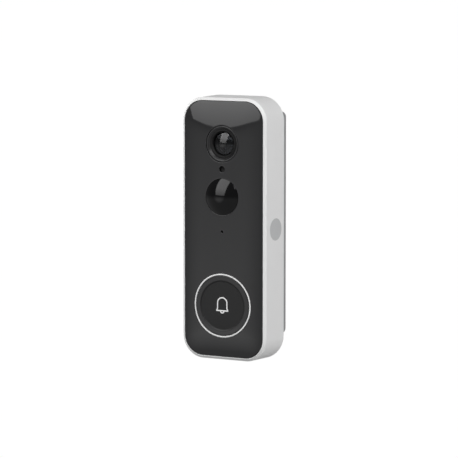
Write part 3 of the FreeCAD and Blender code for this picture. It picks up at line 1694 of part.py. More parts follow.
def port_cover():
    """A rubber flap, flush with the underside, with a plug that fills the port's mouth."""
    body = new_body("port_cover")
    base = ("-dims.socket_offset", "-place.level_port")
    flap = sketch_on(body, "flap", "XY_Plane", *base, "place.low_under")
    rounded(flap, "dims.flap_width", "dims.flap_depth", "dims.flap_corner - dims.flap_gap")
    pad(body, "flap_plate", flap, "dims.flap_thickness - dims.flap_gap / 2")
    plug = sketch_on(body, "plug", "XY_Plane", *base, "place.low_under + dims.flap_thickness / 2")
    rounded(plug, "dims.plug_in_width", "dims.plug_in_depth", "dims.flap_corner - dims.flap_gap")
    pad(body, "port_plug", plug, "place.plug_in_top - place.low_under - dims.flap_thickness / 2")


def build():
    """Makes every sub-part."""
    mounting_plate()
    release_catch()
    main_housing()
    side_badge()
    rear_cover()
    cover_screws()
    rear_seal()
    terminals()
    front_panel()
    camera_bezel()
    lens()
    camera_module()
    light_sensor()
    motion_sensor()
    microphone()
    light_ring()
    button_cap(bell_icon())
    button_switch()
    chassis()
    main_board()
    board_parts()
    battery()
    speaker()
    charging_socket()
    port_cover()


def check():
    """Stops unless every object is sound."""
    doc.recompute()
    for item in doc.Objects:
        if "Invalid" in item.State or "Error" in item.State:
            raise ValueError(f"{item.Label} is {item.State}")
    for item in nodes:
        if item.Shape.isNull() or not item.Shape.isValid() or not item.Shape.Solids:
            raise ValueError(f"{item.Label} has no sound solid")
        print(f"{item.Label}: {len(item.Shape.Solids)} solids, {item.Shape.Volume:.1f} mm3")


build()
check()
os.makedirs("parts", exist_ok=True)
for item in nodes:
    item.Shape.exportStep(f"parts/{item.Label}.step")
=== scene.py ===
"""Battery video doorbell: the visible surfaces, finishes, light and camera round its packed frame.

Shape functions work in millimetres and every mesh is in metres. +Z is up and the front faces -Y.
A level is a distance in front of the wall, so a level L lies at Y = -L.
"""
import json
import math
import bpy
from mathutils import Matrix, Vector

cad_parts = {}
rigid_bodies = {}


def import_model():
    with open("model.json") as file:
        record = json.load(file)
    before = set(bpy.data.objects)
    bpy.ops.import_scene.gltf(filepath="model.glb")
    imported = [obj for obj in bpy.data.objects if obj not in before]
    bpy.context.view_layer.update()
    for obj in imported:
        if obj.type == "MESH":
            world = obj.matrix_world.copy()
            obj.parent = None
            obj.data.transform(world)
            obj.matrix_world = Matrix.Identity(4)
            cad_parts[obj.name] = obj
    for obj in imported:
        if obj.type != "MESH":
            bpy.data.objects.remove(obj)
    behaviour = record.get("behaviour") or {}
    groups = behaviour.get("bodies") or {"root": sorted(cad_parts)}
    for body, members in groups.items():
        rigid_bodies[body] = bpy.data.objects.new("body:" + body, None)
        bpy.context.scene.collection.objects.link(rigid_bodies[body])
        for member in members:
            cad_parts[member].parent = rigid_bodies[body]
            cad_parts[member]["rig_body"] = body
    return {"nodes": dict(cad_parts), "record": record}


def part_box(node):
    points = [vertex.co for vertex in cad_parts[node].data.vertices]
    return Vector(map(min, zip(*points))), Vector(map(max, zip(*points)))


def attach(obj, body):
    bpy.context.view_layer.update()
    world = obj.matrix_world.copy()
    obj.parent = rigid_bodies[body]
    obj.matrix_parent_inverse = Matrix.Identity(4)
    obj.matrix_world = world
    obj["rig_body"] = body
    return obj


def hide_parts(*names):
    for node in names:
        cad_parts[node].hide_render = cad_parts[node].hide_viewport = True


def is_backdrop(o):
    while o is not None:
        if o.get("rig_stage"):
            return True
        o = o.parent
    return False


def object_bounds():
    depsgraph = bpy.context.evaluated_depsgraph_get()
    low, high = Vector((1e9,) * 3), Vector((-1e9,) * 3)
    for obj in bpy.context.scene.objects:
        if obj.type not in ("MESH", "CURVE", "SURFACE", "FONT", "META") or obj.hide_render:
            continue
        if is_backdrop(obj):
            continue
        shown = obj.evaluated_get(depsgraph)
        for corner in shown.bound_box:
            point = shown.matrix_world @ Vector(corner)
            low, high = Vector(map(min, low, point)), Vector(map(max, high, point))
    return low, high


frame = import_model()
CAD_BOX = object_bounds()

from types import SimpleNamespace

import bmesh
import bpy
import numpy as np
from bpy.props import FloatProperty, IntProperty, PointerProperty, StringProperty
from bpy.types import Node, NodeSocket, Operator, Panel, PropertyGroup
from mathutils import Vector
from mathutils.geometry import delaunay_2d_cdt

bl_info = {
    "name": "Video doorbell",
    "version": (1, 0, 0),
    "blender": (4, 5, 0),
    "location": "View3D > Sidebar > Doorbell",
    "description": "Visible surfaces, finishes and studio of a battery video doorbell",
    "category": "Object",
}

MM = 0.001
SLOT_OF = {part["node"]: part["material_slot"] for part in frame["record"]["subparts"]}


def extent(node):
    """A CAD node's box at rest in millimetres, with its middle and its sizes."""
    low, high = (np.array(corner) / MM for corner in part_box(node))
    width, depth, height = high - low
    return SimpleNamespace(
        left=low[0], right=high[0], front=-low[1], back=-high[1], foot=low[2], top=high[2],
        x=(low[0] + high[0]) / 2, level=-(low[1] + high[1]) / 2, z=(low[2] + high[2]) / 2,
        width=width, depth=depth, height=height,
    )


def size(name, description, default):
    """A length property in metres whose default is given in millimetres."""
    kind = {"subtype": "DISTANCE", "unit": "LENGTH", "precision": 5}
    return FloatProperty(name=name, description=description, default=default * MM, **kind)


def degrees(name, description, default):
    """An angle property whose default is given in degrees."""
    default = math.radians(default)
    return FloatProperty(name=name, description=description, default=default, subtype="ANGLE")


def shade(name, description, default):
    """A colour property, kept as an sRGB hex value."""
    return StringProperty(name=name, description=description, default=default)


class DoorbellHousing(PropertyGroup):
    """Sizes and colour of the white housing."""

    side_draft: size("Side draft", "How much narrower the front is than the back, each side", 0.85)
    end_draft: size("End draft", "How much shorter the front is than the back, each end", 0.4)
    corner: size("Corner", "Corner radius at the back edge", 13.7)
    rim_depth: size("Rim depth", "Depth of the chamfer beside the panel", 1.35)
    rim_width: size("Rim width", "Width of the band beside the panel", 1.65)
    rim_flat: size("Rim flat", "Flat part of the band, next to the panel", 0.3)
    edge_round: size("Edge rounding", "Radius where the chamfer meets the side", 0.45)
    back_round: size("Back rounding", "Radius of the back edge", 0.7)
    wall: size("Wall", "Thickness of the side wall", 1.8)
    colour: shade("Colour", "Colour of the shell", "#F1F1F1")


class DoorbellFront(PropertyGroup):
    """Sizes and colours of the glossy front."""

    corner: size("Corner", "Corner radius of the panel", 11.15)
    rise: size("Crown", "How far the middle stands in front of the panel's edge", 1.8)
    power: FloatProperty(
        name="Crown power", description="How quickly the crown levels out", default=3.0
    )
    roll: size("Edge roll", "Radius of the panel's edges", 0.4)
    hole_roll: size("Hole roll", "Radius of the edges of the panel's holes", 0.2)
    seam: size("Seam", "Gap between the panel and the housing", 0.06)
    skin: size("Skin", "Thickness of the panel", 2.0)
    spacing: size("Spacing", "Distance between surface points", 1.0)
    colour: shade("Panel colour", "Colour under the gloss", "#2F2F30")


class DoorbellButton(PropertyGroup):
    """Sizes of the button, its ring and its bell."""

    sunk: size("Sunk", "How far the cap lies behind the panel", 0.05)
    dish: size("Dish", "Diameter of the dish", 28.4)
    dish_depth: size("Dish depth", "Depth of the dish at its middle", 0.35)
    stroke: size("Stroke", "Width of the bell's line", 0.7)
    bell_width: size("Bell width", "Width between the lines of the bell's sides", 5.9)
    bell_flare: size("Bell flare", "How far the bell's foot stands out on each side", 0.75)
    clapper: size("Clapper", "Radius of the clapper's line", 1.1)


class DoorbellUnderside(PropertyGroup):
    """Openings in the housing's underside."""

    slot_count: IntProperty(name="Slots", description="Number of speaker slots", default=4)
    slot_width: size("Slot width", "Width of a speaker slot", 1.2)
    slot_length: size("Slot length", "Length of a speaker slot", 7.0)
    slot_pitch: size("Slot pitch", "Distance between speaker slots", 2.2)
    flap_gap: size("Flap gap", "Gap round the charging-port cover", 0.2)


class DoorbellStudio(PropertyGroup):
    """Camera and light."""

    azimuth: degrees("Azimuth", "Camera's turn to the right", 29.564)
    elevation: degrees("Elevation", "Camera's height angle", 6.117)
    distance: size("Distance", "Camera's distance from the front's middle", 1507.0)
    lens: FloatProperty(name="Lens", description="Focal length in millimetres", default=214.98)
    shift: FloatProperty(name="Shift", description="Sideways shift of the picture", default=0.0121)
    lift: FloatProperty(name="Lift", description="Upward shift of the picture", default=0.001)
    floor_drop: size("Floor drop", "How far the floor lies below the doorbell", 350.0)
    floor_colour: shade("Floor colour", "Colour of the floor", "#FFFFFF")


# Meshes


def grid_faces(rows, columns, close_rows=False, close_columns=True):
    """Quads of a grid of points, row by row; a closed direction joins its last line to its first."""
    index = np.arange(rows * columns).reshape(rows, columns)
    if close_rows:
        index = np.vstack([index, index[:1]])
    if close_columns:
        index = np.hstack([index, index[:, :1]])
    corners = index[:-1, :-1], index[:-1, 1:], index[1:, 1:], index[1:, :-1]
    return np.stack([corner.ravel() for corner in corners], 1)


def as_mesh(name, shape):
    """A mesh made from a bmesh, which is freed."""
    mesh = bpy.data.meshes.new(name)
    shape.to_mesh(mesh)
    shape.free()
    return mesh


def into_scene(name, data):
    """A new object of a mesh, light or camera, linked to the scene."""
    item = bpy.data.objects.new(name, data)
    bpy.context.scene.collection.objects.link(item)
    return item


def enclosed(points, faces):
    """Signed volume inside a closed mesh: the sum of its triangles' products with the origin."""
    volume = 0.0
    for second in range(2, faces.shape[1]):
        a, b, c = points[faces[:, 0]], points[faces[:, second - 1]], points[faces[:, second]]
        volume += np.einsum("ij,ij->i", a, np.cross(b, c)).sum() / 6
    return volume


def solid(points, faces):
    """A bmesh of a closed grid in millimetres, its doubles merged and its faces outwards."""
    flat = points.reshape(-1, 3)
    if enclosed(flat, faces) < 0:
        faces = faces[:, ::-1]
    mesh = bpy.data.meshes.new("solid")
    mesh.from_pydata((flat * MM).tolist(), [], faces.tolist())
    shape = bmesh.new()
    shape.from_mesh(mesh)
    bpy.data.meshes.remove(mesh)
    bmesh.ops.remove_doubles(shape, verts=shape.verts, dist=1e-7)
    return shape


def piece(name, shape, node, finish=None):
    """Makes a mesh piece from a bmesh; it rides with a CAD node's body and takes that node's place. Its
    finish is the one of the node's slot, unless another is named."""
    mesh = as_mesh(name, shape)
    mesh.shade_smooth()
    item = into_scene(name, mesh)
    mesh.materials.append(FINISHES[finish or SLOT_OF[node]])
    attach(item, frame["nodes"][node]["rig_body"])
    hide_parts(node)
    return item


def even_shading(item, sharp=None):
    """Marks edges past an angle in degrees as sharp, if one is given, and weights each corner's normal
    by its faces' areas, so that flats stay flat beside small roundings."""
    if sharp:
        item.data.set_sharp_from_angle(angle=math.radians(sharp))
    item.modifiers.new("even_shading", "WEIGHTED_NORMAL").keep_sharp = True


# Outlines and profiles


def unit(vectors):
    """Vectors scaled to length one."""
    return vectors / np.linalg.norm(vectors, axis=-1, keepdims=True)


def softened(corners, steps=5):
    """A closed profile whose corners, rows of (across, up, radius), each become an arc that is tangent
    to both of its sides."""
    corners, radii = np.split(np.array(corners, float), [2], 1)
    inward = unit(corners - np.roll(corners, 1, 0))
    outward = unit(np.roll(corners, -1, 0) - corners)
    turn = np.arccos(np.clip((inward * outward).sum(1, keepdims=True), -1, 1))
    setback = radii * np.tan(turn / 2)
    middle = corners + unit(outward - inward) * radii / np.cos(turn / 2)
    first, last = corners - inward * setback - middle, corners + outward * setback - middle
    share = np.linspace(0, 1, steps + 1)[None, :, None]
    bend = turn[:, None]
    arc = np.sin((1 - share) * bend) * first[:, None] + np.sin(share * bend) * last[:, None]
    return (middle[:, None] + arc / np.sin(bend)).reshape(-1, 2)


def inside_by(points, box, corner):
    """How far points lie inside a box's front outline, whose corners are round: the corner's radius less
    the distance past the corner's centre, or the distance from the nearest side."""
    half = np.array([box.width, box.height]) / 2 - corner
    away = np.abs(points - (box.x, box.z)) - half
    return corner - np.hypot(*np.maximum(away, 0).T) - np.minimum(away.max(1), 0)


def rounded_outline(width, height, corner, arc_steps=16, run_steps=6):
    """Outlines of rectangles with round corners: a centre plus the radius times (cos, sin) over each
    quarter turn, joined by straight runs. Sizes are arrays, and each row of the result is one outline."""
    sizes = (width, height, corner)
    width, height, corner = (np.atleast_1d(value)[:, None] for value in sizes)
    quarter = np.linspace(0, np.pi / 2, arc_steps + 1)[None, :]
    arcs = []
    for turn, (across, up) in enumerate(((1, 1), (-1, 1), (-1, -1), (1, -1))):
        angle = quarter + turn * np.pi / 2
        x = across * (width / 2 - corner) + corner * np.cos(angle)
        z = up * (height / 2 - corner) + corner * np.sin(angle)
        arcs.append(np.stack([x, z], -1))
    share = np.linspace(0, 1, run_steps + 2)[1:-1][None, :, None]
    parts = []
    for turn, arc in enumerate(arcs):
        following = arcs[(turn + 1) % 4][:, :1]
        parts += [arc, arc[:, -1:] + (following - arc[:, -1:]) * share]
    return np.concatenate(parts, 1)


def tube(points):
    """A bmesh of a grid of points that closes in both directions."""
    return solid(points, grid_faces(*points.shape[:2], close_rows=True))


def carried(outlines, levels, box):
    """A closed grid of outlines about a box's axis, each set at its own level."""
    points = np.empty((*outlines.shape[:2], 3))
    points[..., 0] = outlines[..., 0] + box.x
    points[..., 1] = -levels[:, None]
    points[..., 2] = outlines[..., 1] + box.z
    return tube(points)


def around(turns):
    """Evenly spaced angles once round, without the last one, which would be the first again."""
    return np.linspace(0, 2 * np.pi, turns, endpoint=False)


def spun(profile, box, turns=160):
    """A grid of points: each row is a circle about a box's front-to-back axis, and a profile gives its
    radius and level."""
    radius, level = profile[:, :1], profile[:, 1:]
    angle = around(turns)
    rows = box.x + radius * np.cos(angle), -level + 0 * angle, box.z + radius * np.sin(angle)
    return np.stack(np.broadcast_arrays(*rows), -1)


def cap_arc(radius, rise, level, steps=24):
    """The profile of a spherical cap from its edge to its apex, whose edge lies at a level."""
    sphere = (radius**2 + rise**2) / (2 * rise)
    reach = radius * np.sin(np.linspace(np.pi / 2, 0, steps + 1))
    return np.stack([reach, level + rise - sphere + np.sqrt(sphere**2 - reach**2)], 1)


# Finishes


def linear(colour, alpha=1.0):
    """An sRGB hex colour as linear red, green and blue with alpha."""
    parts = np.array([int(colour[start : start + 2], 16) for start in (1, 3, 5)]) / 255
    values = np.where(parts <= 0.04045, parts / 12.92, ((parts + 0.055) / 1.055) ** 2.4)
    return (*values.tolist(), alpha)


def add(tree, kind, inputs=None, **settings):
    """Adds a node, named without ShaderNode, with its settings, and sets or links its inputs. A node
    that is given for an input stands for its first output."""
    made = tree.nodes.new("ShaderNode" + kind)
    for name, value in settings.items():
        setattr(made, name, value)
    for name, value in (inputs or {}).items():
        if isinstance(value, Node):
            value = value.outputs[0]
        if isinstance(value, NodeSocket):
            tree.links.new(value, made.inputs[name])
        else:
            made.inputs[name].default_value = value
    return made


def emptied(owner):
    """The node tree of a material, light or world, switched on and emptied."""
    owner.use_nodes = True
    owner.node_tree.nodes.clear()
    return owner.node_tree


def finish(
    name, colour, second, roughness, grain=0.4, relief=0.004, patch=9.0, spread=0.04, **shader
):
    """A moulded, cast or plated surface. Noise as wide as a patch drifts the colour and the gloss,
    and a finer noise, whose grain and relief are in millimetres, breaks up the reflection."""
    material = bpy.data.materials.new(name)
    tree = emptied(material)
    place = add(tree, "TexCoord").outputs["Object"]
    drift = add(tree, "TexNoise", {"Vector": place, "Scale": 1 / (patch * MM), "Detail": 3.0})
    tone = add(tree, "Mix", {0: drift, 6: linear(colour), 7: linear(second)}, data_type="RGBA")
    limits = {"To Min": max(0.0, roughness - spread), "To Max": roughness + spread}
    gloss = add(tree, "MapRange", {"Value": drift, **limits})
    fine = add(tree, "TexNoise", {"Vector": place, "Scale": 1 / (grain * MM), "Detail": 2.0})
    bump = add(tree, "Bump", {"Height": fine, "Strength": 1.0, "Distance": relief * MM})
    links = {"Base Color": tone.outputs[2], "Roughness": gloss, "Normal": bump}
    add(tree, "OutputMaterial", {"Surface": add(tree, "BsdfPrincipled", {**links, **shader})})
    return material


def clear_glass(name, colour, second):
    """Polished optical glass: light passes through, its tint drifts a little between two colours, and
    the surface reflects sharply."""
    patch = 6.0
    material = bpy.data.materials.new(name)
    tree = emptied(material)
    place = add(tree, "TexCoord").outputs["Object"]
    drift = add(tree, "TexNoise", {"Vector": place, "Scale": 1 / (patch * MM)})
    tone = add(tree, "Mix", {0: drift, 6: linear(colour), 7: linear(second)}, data_type="RGBA")
    clear = {"Roughness": 0.0, "Transmission Weight": 1.0, "IOR": 1.52}
    glass = add(tree, "BsdfPrincipled", {"Base Color": tone.outputs[2], **clear})
    add(tree, "OutputMaterial", {"Surface": glass})
    return material


def cap_finish(name, colour, shaded_dish_colour):
    """A polished black cap whose dish is spark-eroded and rough: the mesh's own dish value, from 0 on
    the band to 1 in the dish, mixes the two tones and the two roughnesses. The dish's darker tone is
    painted shade of the recess; its rougher gloss is real."""
    polished, eroded, spread, patch, grain, relief = 0.1, 0.5, 0.02, 7.0, 0.35, 0.004
    material = bpy.data.materials.new(name)
    tree = emptied(material)
    place = add(tree, "TexCoord").outputs["Object"]
    mask = add(tree, "Attribute", attribute_name="matte_and_shade").outputs["Fac"]
    drift = add(tree, "TexNoise", {"Vector": place, "Scale": 1 / (patch * MM), "Detail": 3.0})
    shift = add(tree, "MapRange", {"Value": drift, "To Min": -spread, "To Max": spread})
    gloss = add(tree, "MapRange", {"Value": mask, "To Min": polished, "To Max": eroded})
    rough = add(tree, "Math", {0: gloss, 1: shift}, operation="ADD")
    # The dish's darker colour is painted shade of the recess, mixed in by the same value as the roughness.
    tone = add(tree, "Mix", {0: mask, 6: linear(colour), 7: linear(shaded_dish_colour)}, data_type="RGBA")
    fine = add(tree, "TexNoise", {"Vector": place, "Scale": 1 / (grain * MM), "Detail": 2.0})
    depth = add(tree, "Math", {0: mask, 1: fine}, operation="MULTIPLY")
    bump = add(tree, "Bump", {"Height": depth, "Strength": 1.0, "Distance": relief * MM})
    links = {"Base Color": tone.outputs[2], "Roughness": rough, "Normal": bump}
    add(tree, "OutputMaterial", {"Surface": add(tree, "BsdfPrincipled", links)})
    return material


def solder_mask(name):
    """Green solder mask over copper tracks: a brick-like pattern shows as slightly lighter runs."""
    material = bpy.data.materials.new(name)
    tree = emptied(material)
    place = add(tree, "TexCoord").outputs["Object"]
    spacing = 8.0
    pattern = {
        "Vector": add(tree, "Mapping", {"Vector": place, "Rotation": (math.pi / 2, 0.0, 0.0)}),
        "Scale": 1 / (spacing * MM), "Mortar Size": 0.015,
        "Color1": linear("#0F4A26"), "Color2": linear("#125530"), "Mortar": linear("#1F7A45"),
    }
    tracks = add(tree, "TexBrick", pattern)
    shader = {"Base Color": tracks, "Roughness": 0.35, "Coat Weight": 0.3}
    add(tree, "OutputMaterial", {"Surface": add(tree, "BsdfPrincipled", shader)})
    return material


def studio_white(name, colour):
    """Plain paper-white floor with a fibre too faint to notice; from below it is clear, so that it
    doesn't hide the underside."""
    fibre_width = 3.0
    material = bpy.data.materials.new(name)
    tree = emptied(material)
    place = add(tree, "TexCoord").outputs["Object"]
    fibre = add(tree, "TexNoise", {"Vector": place, "Scale": 1 / (fibre_width * MM)})
    bright = add(tree, "MapRange", {"Value": fibre, "To Min": 1.0, "To Max": 1.01})
    paper = add(tree, "Emission", {"Color": linear(colour), "Strength": bright})
    behind = add(tree, "NewGeometry").outputs["Backfacing"]
    sides = add(tree, "MixShader", {0: behind, 1: paper, 2: add(tree, "BsdfTransparent")})
    add(tree, "OutputMaterial", {"Surface": sides})
    return material


def make_finishes(housing, front):
    """Every finish, by the record's slot names."""
    metal = {"Metallic": 1.0}
    return {
        # ABS, moulded in a spark-eroded tool: satin, with a grain that is only just felt.
        "white_shell": finish("satin_abs", housing.colour, "#EEEEEE", 0.42, grain=0.35, relief=0.0015),
        # ABS, moulded a shade darker, for parts that face the wall.
        "plate_grey": finish("textured_abs", "#9C9C9E", "#979799", 0.55, grain=0.45, relief=0.006),
        "cover_grey": finish("textured_cover_abs", "#A3A3A4", "#9C9C9D", 0.55, grain=0.45, relief=0.006),
        # Acetal: waxy, a little shinier than ABS.
        "spring_plastic": finish("acetal", "#7C7C7E", "#767678", 0.4, grain=0.6, relief=0.002),
        # Painted disc: fine metallic grey.
        "badge_grey": finish("painted_disc", "#C9CACB", "#C4C5C6", 0.36, grain=0.2, relief=0.001),
        # Polycarbonate with a polished face over a dark layer: mirror-like, nearly black.
        "front_gloss": finish(
            "polished_polycarbonate", front.colour, "#2D2D2E", 0.05, grain=6.0, relief=0.0004,
            spread=0.015, **{"IOR": 1.5},
        ),
        # ABS, polished black.
        "bezel_black": finish(
            "polished_abs", "#2B2B2C", "#282829", 0.22, grain=0.5, relief=0.0006, spread=0.03
        ),
        # The same, with a spark-eroded dish that takes a finger's place without shining; the dish's darker
        # colour is painted shade.
        "cap_black": cap_finish("polished_cap_abs", "#2E2E2F", "#101011"),
        # Anodised aluminium, black and satin; also laid on the light pipe's end as painted shade.
        "barrel_black": finish(
            "black_anodised", "#060607", "#090909", 0.5, grain=0.3, relief=0.001,
            **{"Specular IOR Level": 0.3},
        ),
        # Optical glass, polished and coated: clear and grey-blue, with a mirror-like reflection.
        "lens_glass": clear_glass("polished_lens_glass", "#8F9298", "#8D9096"),
        "sensor_glass": finish("sensor_cover_glass", "#17131F", "#101620", 0.08, patch=2.0),
        # ABS, moulded black and satin.
        "inner_black": finish("moulded_black", "#1C1C1D", "#202021", 0.5),
        "circuit_board": solder_mask("solder_mask"),
        "chip_black": finish("moulded_epoxy", "#161617", "#1B1B1C", 0.5, grain=0.25, relief=0.003),
        # Polyethylene, black and clear to infrared: a soft gloss.
        "dome_black": finish(
            "polished_polyethylene", "#0A0A0B", "#0D0D0E", 0.09, grain=2.0, relief=0.0004,
            **{"IOR": 1.44},
        ),
        "nickel_can": finish("nickel_plate", "#D2CFC8", "#C6C2BA", 0.24, **metal),
        "steel": finish("zinc_plate", "#C9CACC", "#BBBDC1", 0.3, **metal),
        "brass": finish("turned_brass", "#E3C27A", "#D6B36A", 0.26, **metal),
        "copper_foil": finish("copper_foil", "#DDA283", "#CE9070", 0.3, **metal),
        "cell_foil": finish("laminated_foil", "#CBCCCF", "#BFC0C4", 0.34, grain=1.2, relief=0.01, **metal),
        # Polycarbonate with a frosted face: glows evenly.
        "ring_white": finish("frosted_polycarbonate", "#FCFCFC", "#FAFAFA", 0.45, grain=0.3, relief=0.001),
        "grey_silicone": finish("silicone", "#A0A0A2", "#9A9A9C", 0.6, grain=0.3),
        "lamp_white": finish("lamp_package", "#EFEFE2", "#E2E0C0", 0.35, patch=1.0),
        "red_wire": finish("wire_insulation", "#B01A18", "#A61614", 0.4, patch=4.0),
        "black_rubber": finish("black_rubber", "#1A1A1B", "#202021", 0.75, grain=0.3),
        # Thermoplastic rubber in the shell's colour, a little duller than it.
        "flap_rubber": finish("soft_rubber", "#E2E2E1", "#DEDEDD", 0.6, grain=0.3, relief=0.003),
    }


FINISHES = {}


# Pieces, after the sizes in millimetres that belong to one shape only

CORNER_POWER = 4.9  # how squarely the crown's level lines turn their corners
ROLL_SHARES = np.array([0.0, 0.12, 0.3, 0.6, 1.0])  # where an edge's roll has its rings of points
SHOULDER = np.array([0.6, 1.0, 1.6, 2.4, 3.4])  # further rings, inside the panel's outline
# How far each of the panel's holes reaches past the radius of its part
HOLE_GAPS = {"camera_bezel": 0.22, "light_pipe": 0.02, "pir_dome": -0.2, "light_ring": -0.17}
MIC_HOLE = 1.3  # diameter
BROKEN = 0.1  # radius of an edge that is only broken
TIGHT = 0.05  # radius of an edge that lies in a seam
SHARP = 0.0001  # stands for no radius at all, on a turning axis
LENS_EDGE = math.radians(30)  # on lenses and dome, edges past this angle stay sharp
ROUND = 192  # points once round the dome, the button and its ring
FIT = 0.02  # play round a part that is pressed in
DOME_RISE = 3.3
DOME_WALL = 1.1
RING_GAP = 0.2  # between the panel and the ring
RING_WIDTH = 0.8
CAP_GAP = 0.2  # between the ring and the cap
DISH_SLOPE = 1.0  # width of the dish's sloping border
CAP_ROLL = 0.3  # radius of the button's outer edge
BELL_LEVELS = (1.45, -2.85, -1.3)  # shoulder, foot and start of the flare, from the button's centre


def crown_level(x, z):
    """Level of the crowned front: its edge plus rise * (1 - (r / reach) ^ power). Reach is half of the
    panel's width and r is the distance from the panel's long middle line, measured as
    (across ^ n + past the line's end ^ n) ^ (1 / n), which is constant along the panel's outline."""
    front = bpy.context.scene.doorbell_front
    panel = extent("front_panel")
    reach, rise = panel.width / 2, front.rise / MM
    past = np.maximum(np.abs(z - panel.z) - (panel.height / 2 - reach), 0)
    away = (np.abs(x - panel.x) ** CORNER_POWER + past**CORNER_POWER) ** (1 / CORNER_POWER)
    return panel.front - rise + rise * (1 - np.minimum(away / reach, 1) ** front.power)


def past_holes(points, holes):
    """How far points lie outside the nearest of the round holes on the middle line."""
    away = [np.hypot(points[:, 0], points[:, 1] - z) - radius for radius, z in holes]
    return np.min(away, 0)


def pierced_panel(panel, corner, holes, spacing, roll, hole_roll):
    """Points in the plane of a rounded rectangle with round holes, and the triangles between them.
    Rings of points follow each border closely and a square grid fills the rest."""
    inset = np.concatenate([ROLL_SHARES * roll, SHOULDER])
    width, height = panel.width - 2 * inset, panel.height - 2 * inset
    outlines = rounded_outline(width, height, corner - inset, arc_steps=28, run_steps=60)
    loops = [outline + (panel.x, panel.z) for outline in outlines]
    tied = list(range(len(ROLL_SHARES)))
    for radius, z in holes:
        angle = around(int(np.clip(2 * np.pi * radius / (0.6 * spacing), 40, 160)))
        ring = np.stack([np.cos(angle), np.sin(angle)], 1)
        for grow in np.concatenate([ROLL_SHARES * hole_roll, [0.5 * spacing]]):
            if grow <= hole_roll:
                tied.append(len(loops))
            loops.append(ring * (radius + grow) + (0.0, z))
    across = np.arange(panel.left, panel.right, spacing)
    up = np.arange(panel.foot, panel.top, spacing)
    lattice = np.stack(np.meshgrid(across, up), -1).reshape(-1, 2)
    keep = inside_by(lattice, panel, corner) > SHOULDER[-1] + 0.4 * spacing
    keep &= past_holes(lattice, holes) > roll + 0.9 * spacing
    points, edges, start = [], [], 0
    for number, loop in enumerate(loops):
        if number in tied:
            index = start + np.arange(len(loop))
            edges.append(np.stack([index, np.roll(index, -1)], 1))
        else:
            loop = loop[past_holes(loop, holes) > 1.2 * roll]
        points.append(loop)
        start += len(loop)
    places = [Vector(point) for point in np.concatenate([*points, lattice[keep]])]
    found = delaunay_2d_cdt(places, np.concatenate(edges).tolist(), [], 0, 1e-5)
    flat = np.array([tuple(point) for point in found[0]])
    faces = np.array(found[2])
    centre = flat[faces].mean(1)
    inside = (inside_by(centre, panel, corner) > 0) & (past_holes(centre, holes) > 0)
    return flat, faces[inside]


def prism(outline, x, level, foot, top):
    """An upright prism on an outline, closed at both ends by fans about its axis."""
    points = np.empty((4, len(outline), 3))
    points[..., 0] = x + outline[:, 0]
    points[..., 1] = -level + outline[:, 1]
    points[..., 2] = np.array([foot, foot, top, top])[:, None]
    points[0, :, :2] = points[3, :, :2] = (x, -level)
    return solid(points, grid_faces(4, len(outline)))


def cut_out(item, shapes):
    """Cuts shapes out of a piece with exact Booleans and keeps the result as its mesh."""
    tools = [into_scene("cutter", as_mesh("cutter", shape)) for shape in shapes]
    for tool in tools:
        cut = item.modifiers.new("opening", "BOOLEAN")
        cut.object = tool
        cut.operation = "DIFFERENCE"
        cut.solver = "EXACT"
    bpy.context.view_layer.update()
    made = item.evaluated_get(bpy.context.evaluated_depsgraph_get())
    drilled = bpy.data.meshes.new_from_object(made)
    item.modifiers.clear()
    whole, item.data = item.data, drilled
    drilled.name = item.name
    bpy.data.meshes.remove(whole)
    for tool in tools:
        bpy.data.objects.remove(tool)


def build_housing(settings, underside):
    """The shell: a closed profile of inset and level carried round the outline. Width and height follow
    the draft between the back edge and the chamfer, so the ends taper less than the sides."""
    seal_gap, ledge_width, inner_round, outer_round = 0.15, 2.2, 0.08, 0.2
    box, chassis, seat, panel = (
        extent(node) for node in ("main_housing", "chassis", "rear_seal", "front_panel")
    )
    draft = settings.side_draft / MM
    opening = draft + settings.rim_width / MM
    flat = opening - settings.rim_flat / MM
    wall = draft + settings.wall / MM
    lip = (box.width - seat.width) / 2 - seal_gap
    ledge = opening + ledge_width
    shoulder = box.front - settings.rim_depth / MM
    profile = [
        (opening, panel.back, TIGHT), (opening, box.front, inner_round), (flat, box.front, outer_round),
        (draft, shoulder, settings.edge_round / MM), (0.0, box.back, settings.back_round / MM),
        (lip, box.back, BROKEN), (lip, seat.front, TIGHT), (wall, seat.front, BROKEN),
        (wall, chassis.front, BROKEN), (ledge, chassis.front, BROKEN), (ledge, panel.back, BROKEN),
    ]
    inset, level = softened(profile, steps=6).T
    share = np.clip((level - box.back) / (shoulder - box.back), 0, 1)
    taper = share * (draft - settings.end_draft / MM)
    width, height = box.width - 2 * inset, box.height - 2 * (inset - taper)
    outlines = rounded_outline(width, height, settings.corner / MM - inset, arc_steps=24)
    shell = piece("housing_shell", carried(outlines, level, box), "main_housing")
    cut_out(shell, underside_openings(underside, box))
    even_shading(shell, sharp=35)


def underside_openings(settings, box):
    """The prisms that open the underside: the flap's recess, the port behind it and the slots."""
    flap, mesh = extent("port_cover"), extent("speaker_mesh")
    gap, width = 2 * settings.flap_gap / MM, settings.slot_width / MM
    recess, through = 1.6, 4.0  # depths
    corner, port_width, port_height = 1.6, 10.6, 4.8
    openings = [
        (flap.x, flap.level, flap.width + gap, flap.depth + gap, corner, recess),
        (flap.x, flap.level, port_width, port_height, corner, through),
    ]
    middle = (settings.slot_count - 1) / 2
    for index in range(settings.slot_count):
        x = mesh.x + (index - middle) * settings.slot_pitch / MM
        end = width / 2 - 0.01  # a slot's end is round
        openings.append((x, mesh.level, width, settings.slot_length / MM, end, through))
    for x, level, width, length, corner, depth in openings:
        outline = rounded_outline(width, length, corner, arc_steps=8, run_steps=1)[0]
        yield prism(outline, x, level, box.foot - 1, box.foot + depth)


def rolled(distance, radius):
    """How far a quarter-round edge drops at a distance from its border."""
    near = np.clip(radius - distance, 0, radius)
    return radius - np.sqrt(radius**2 - near**2)


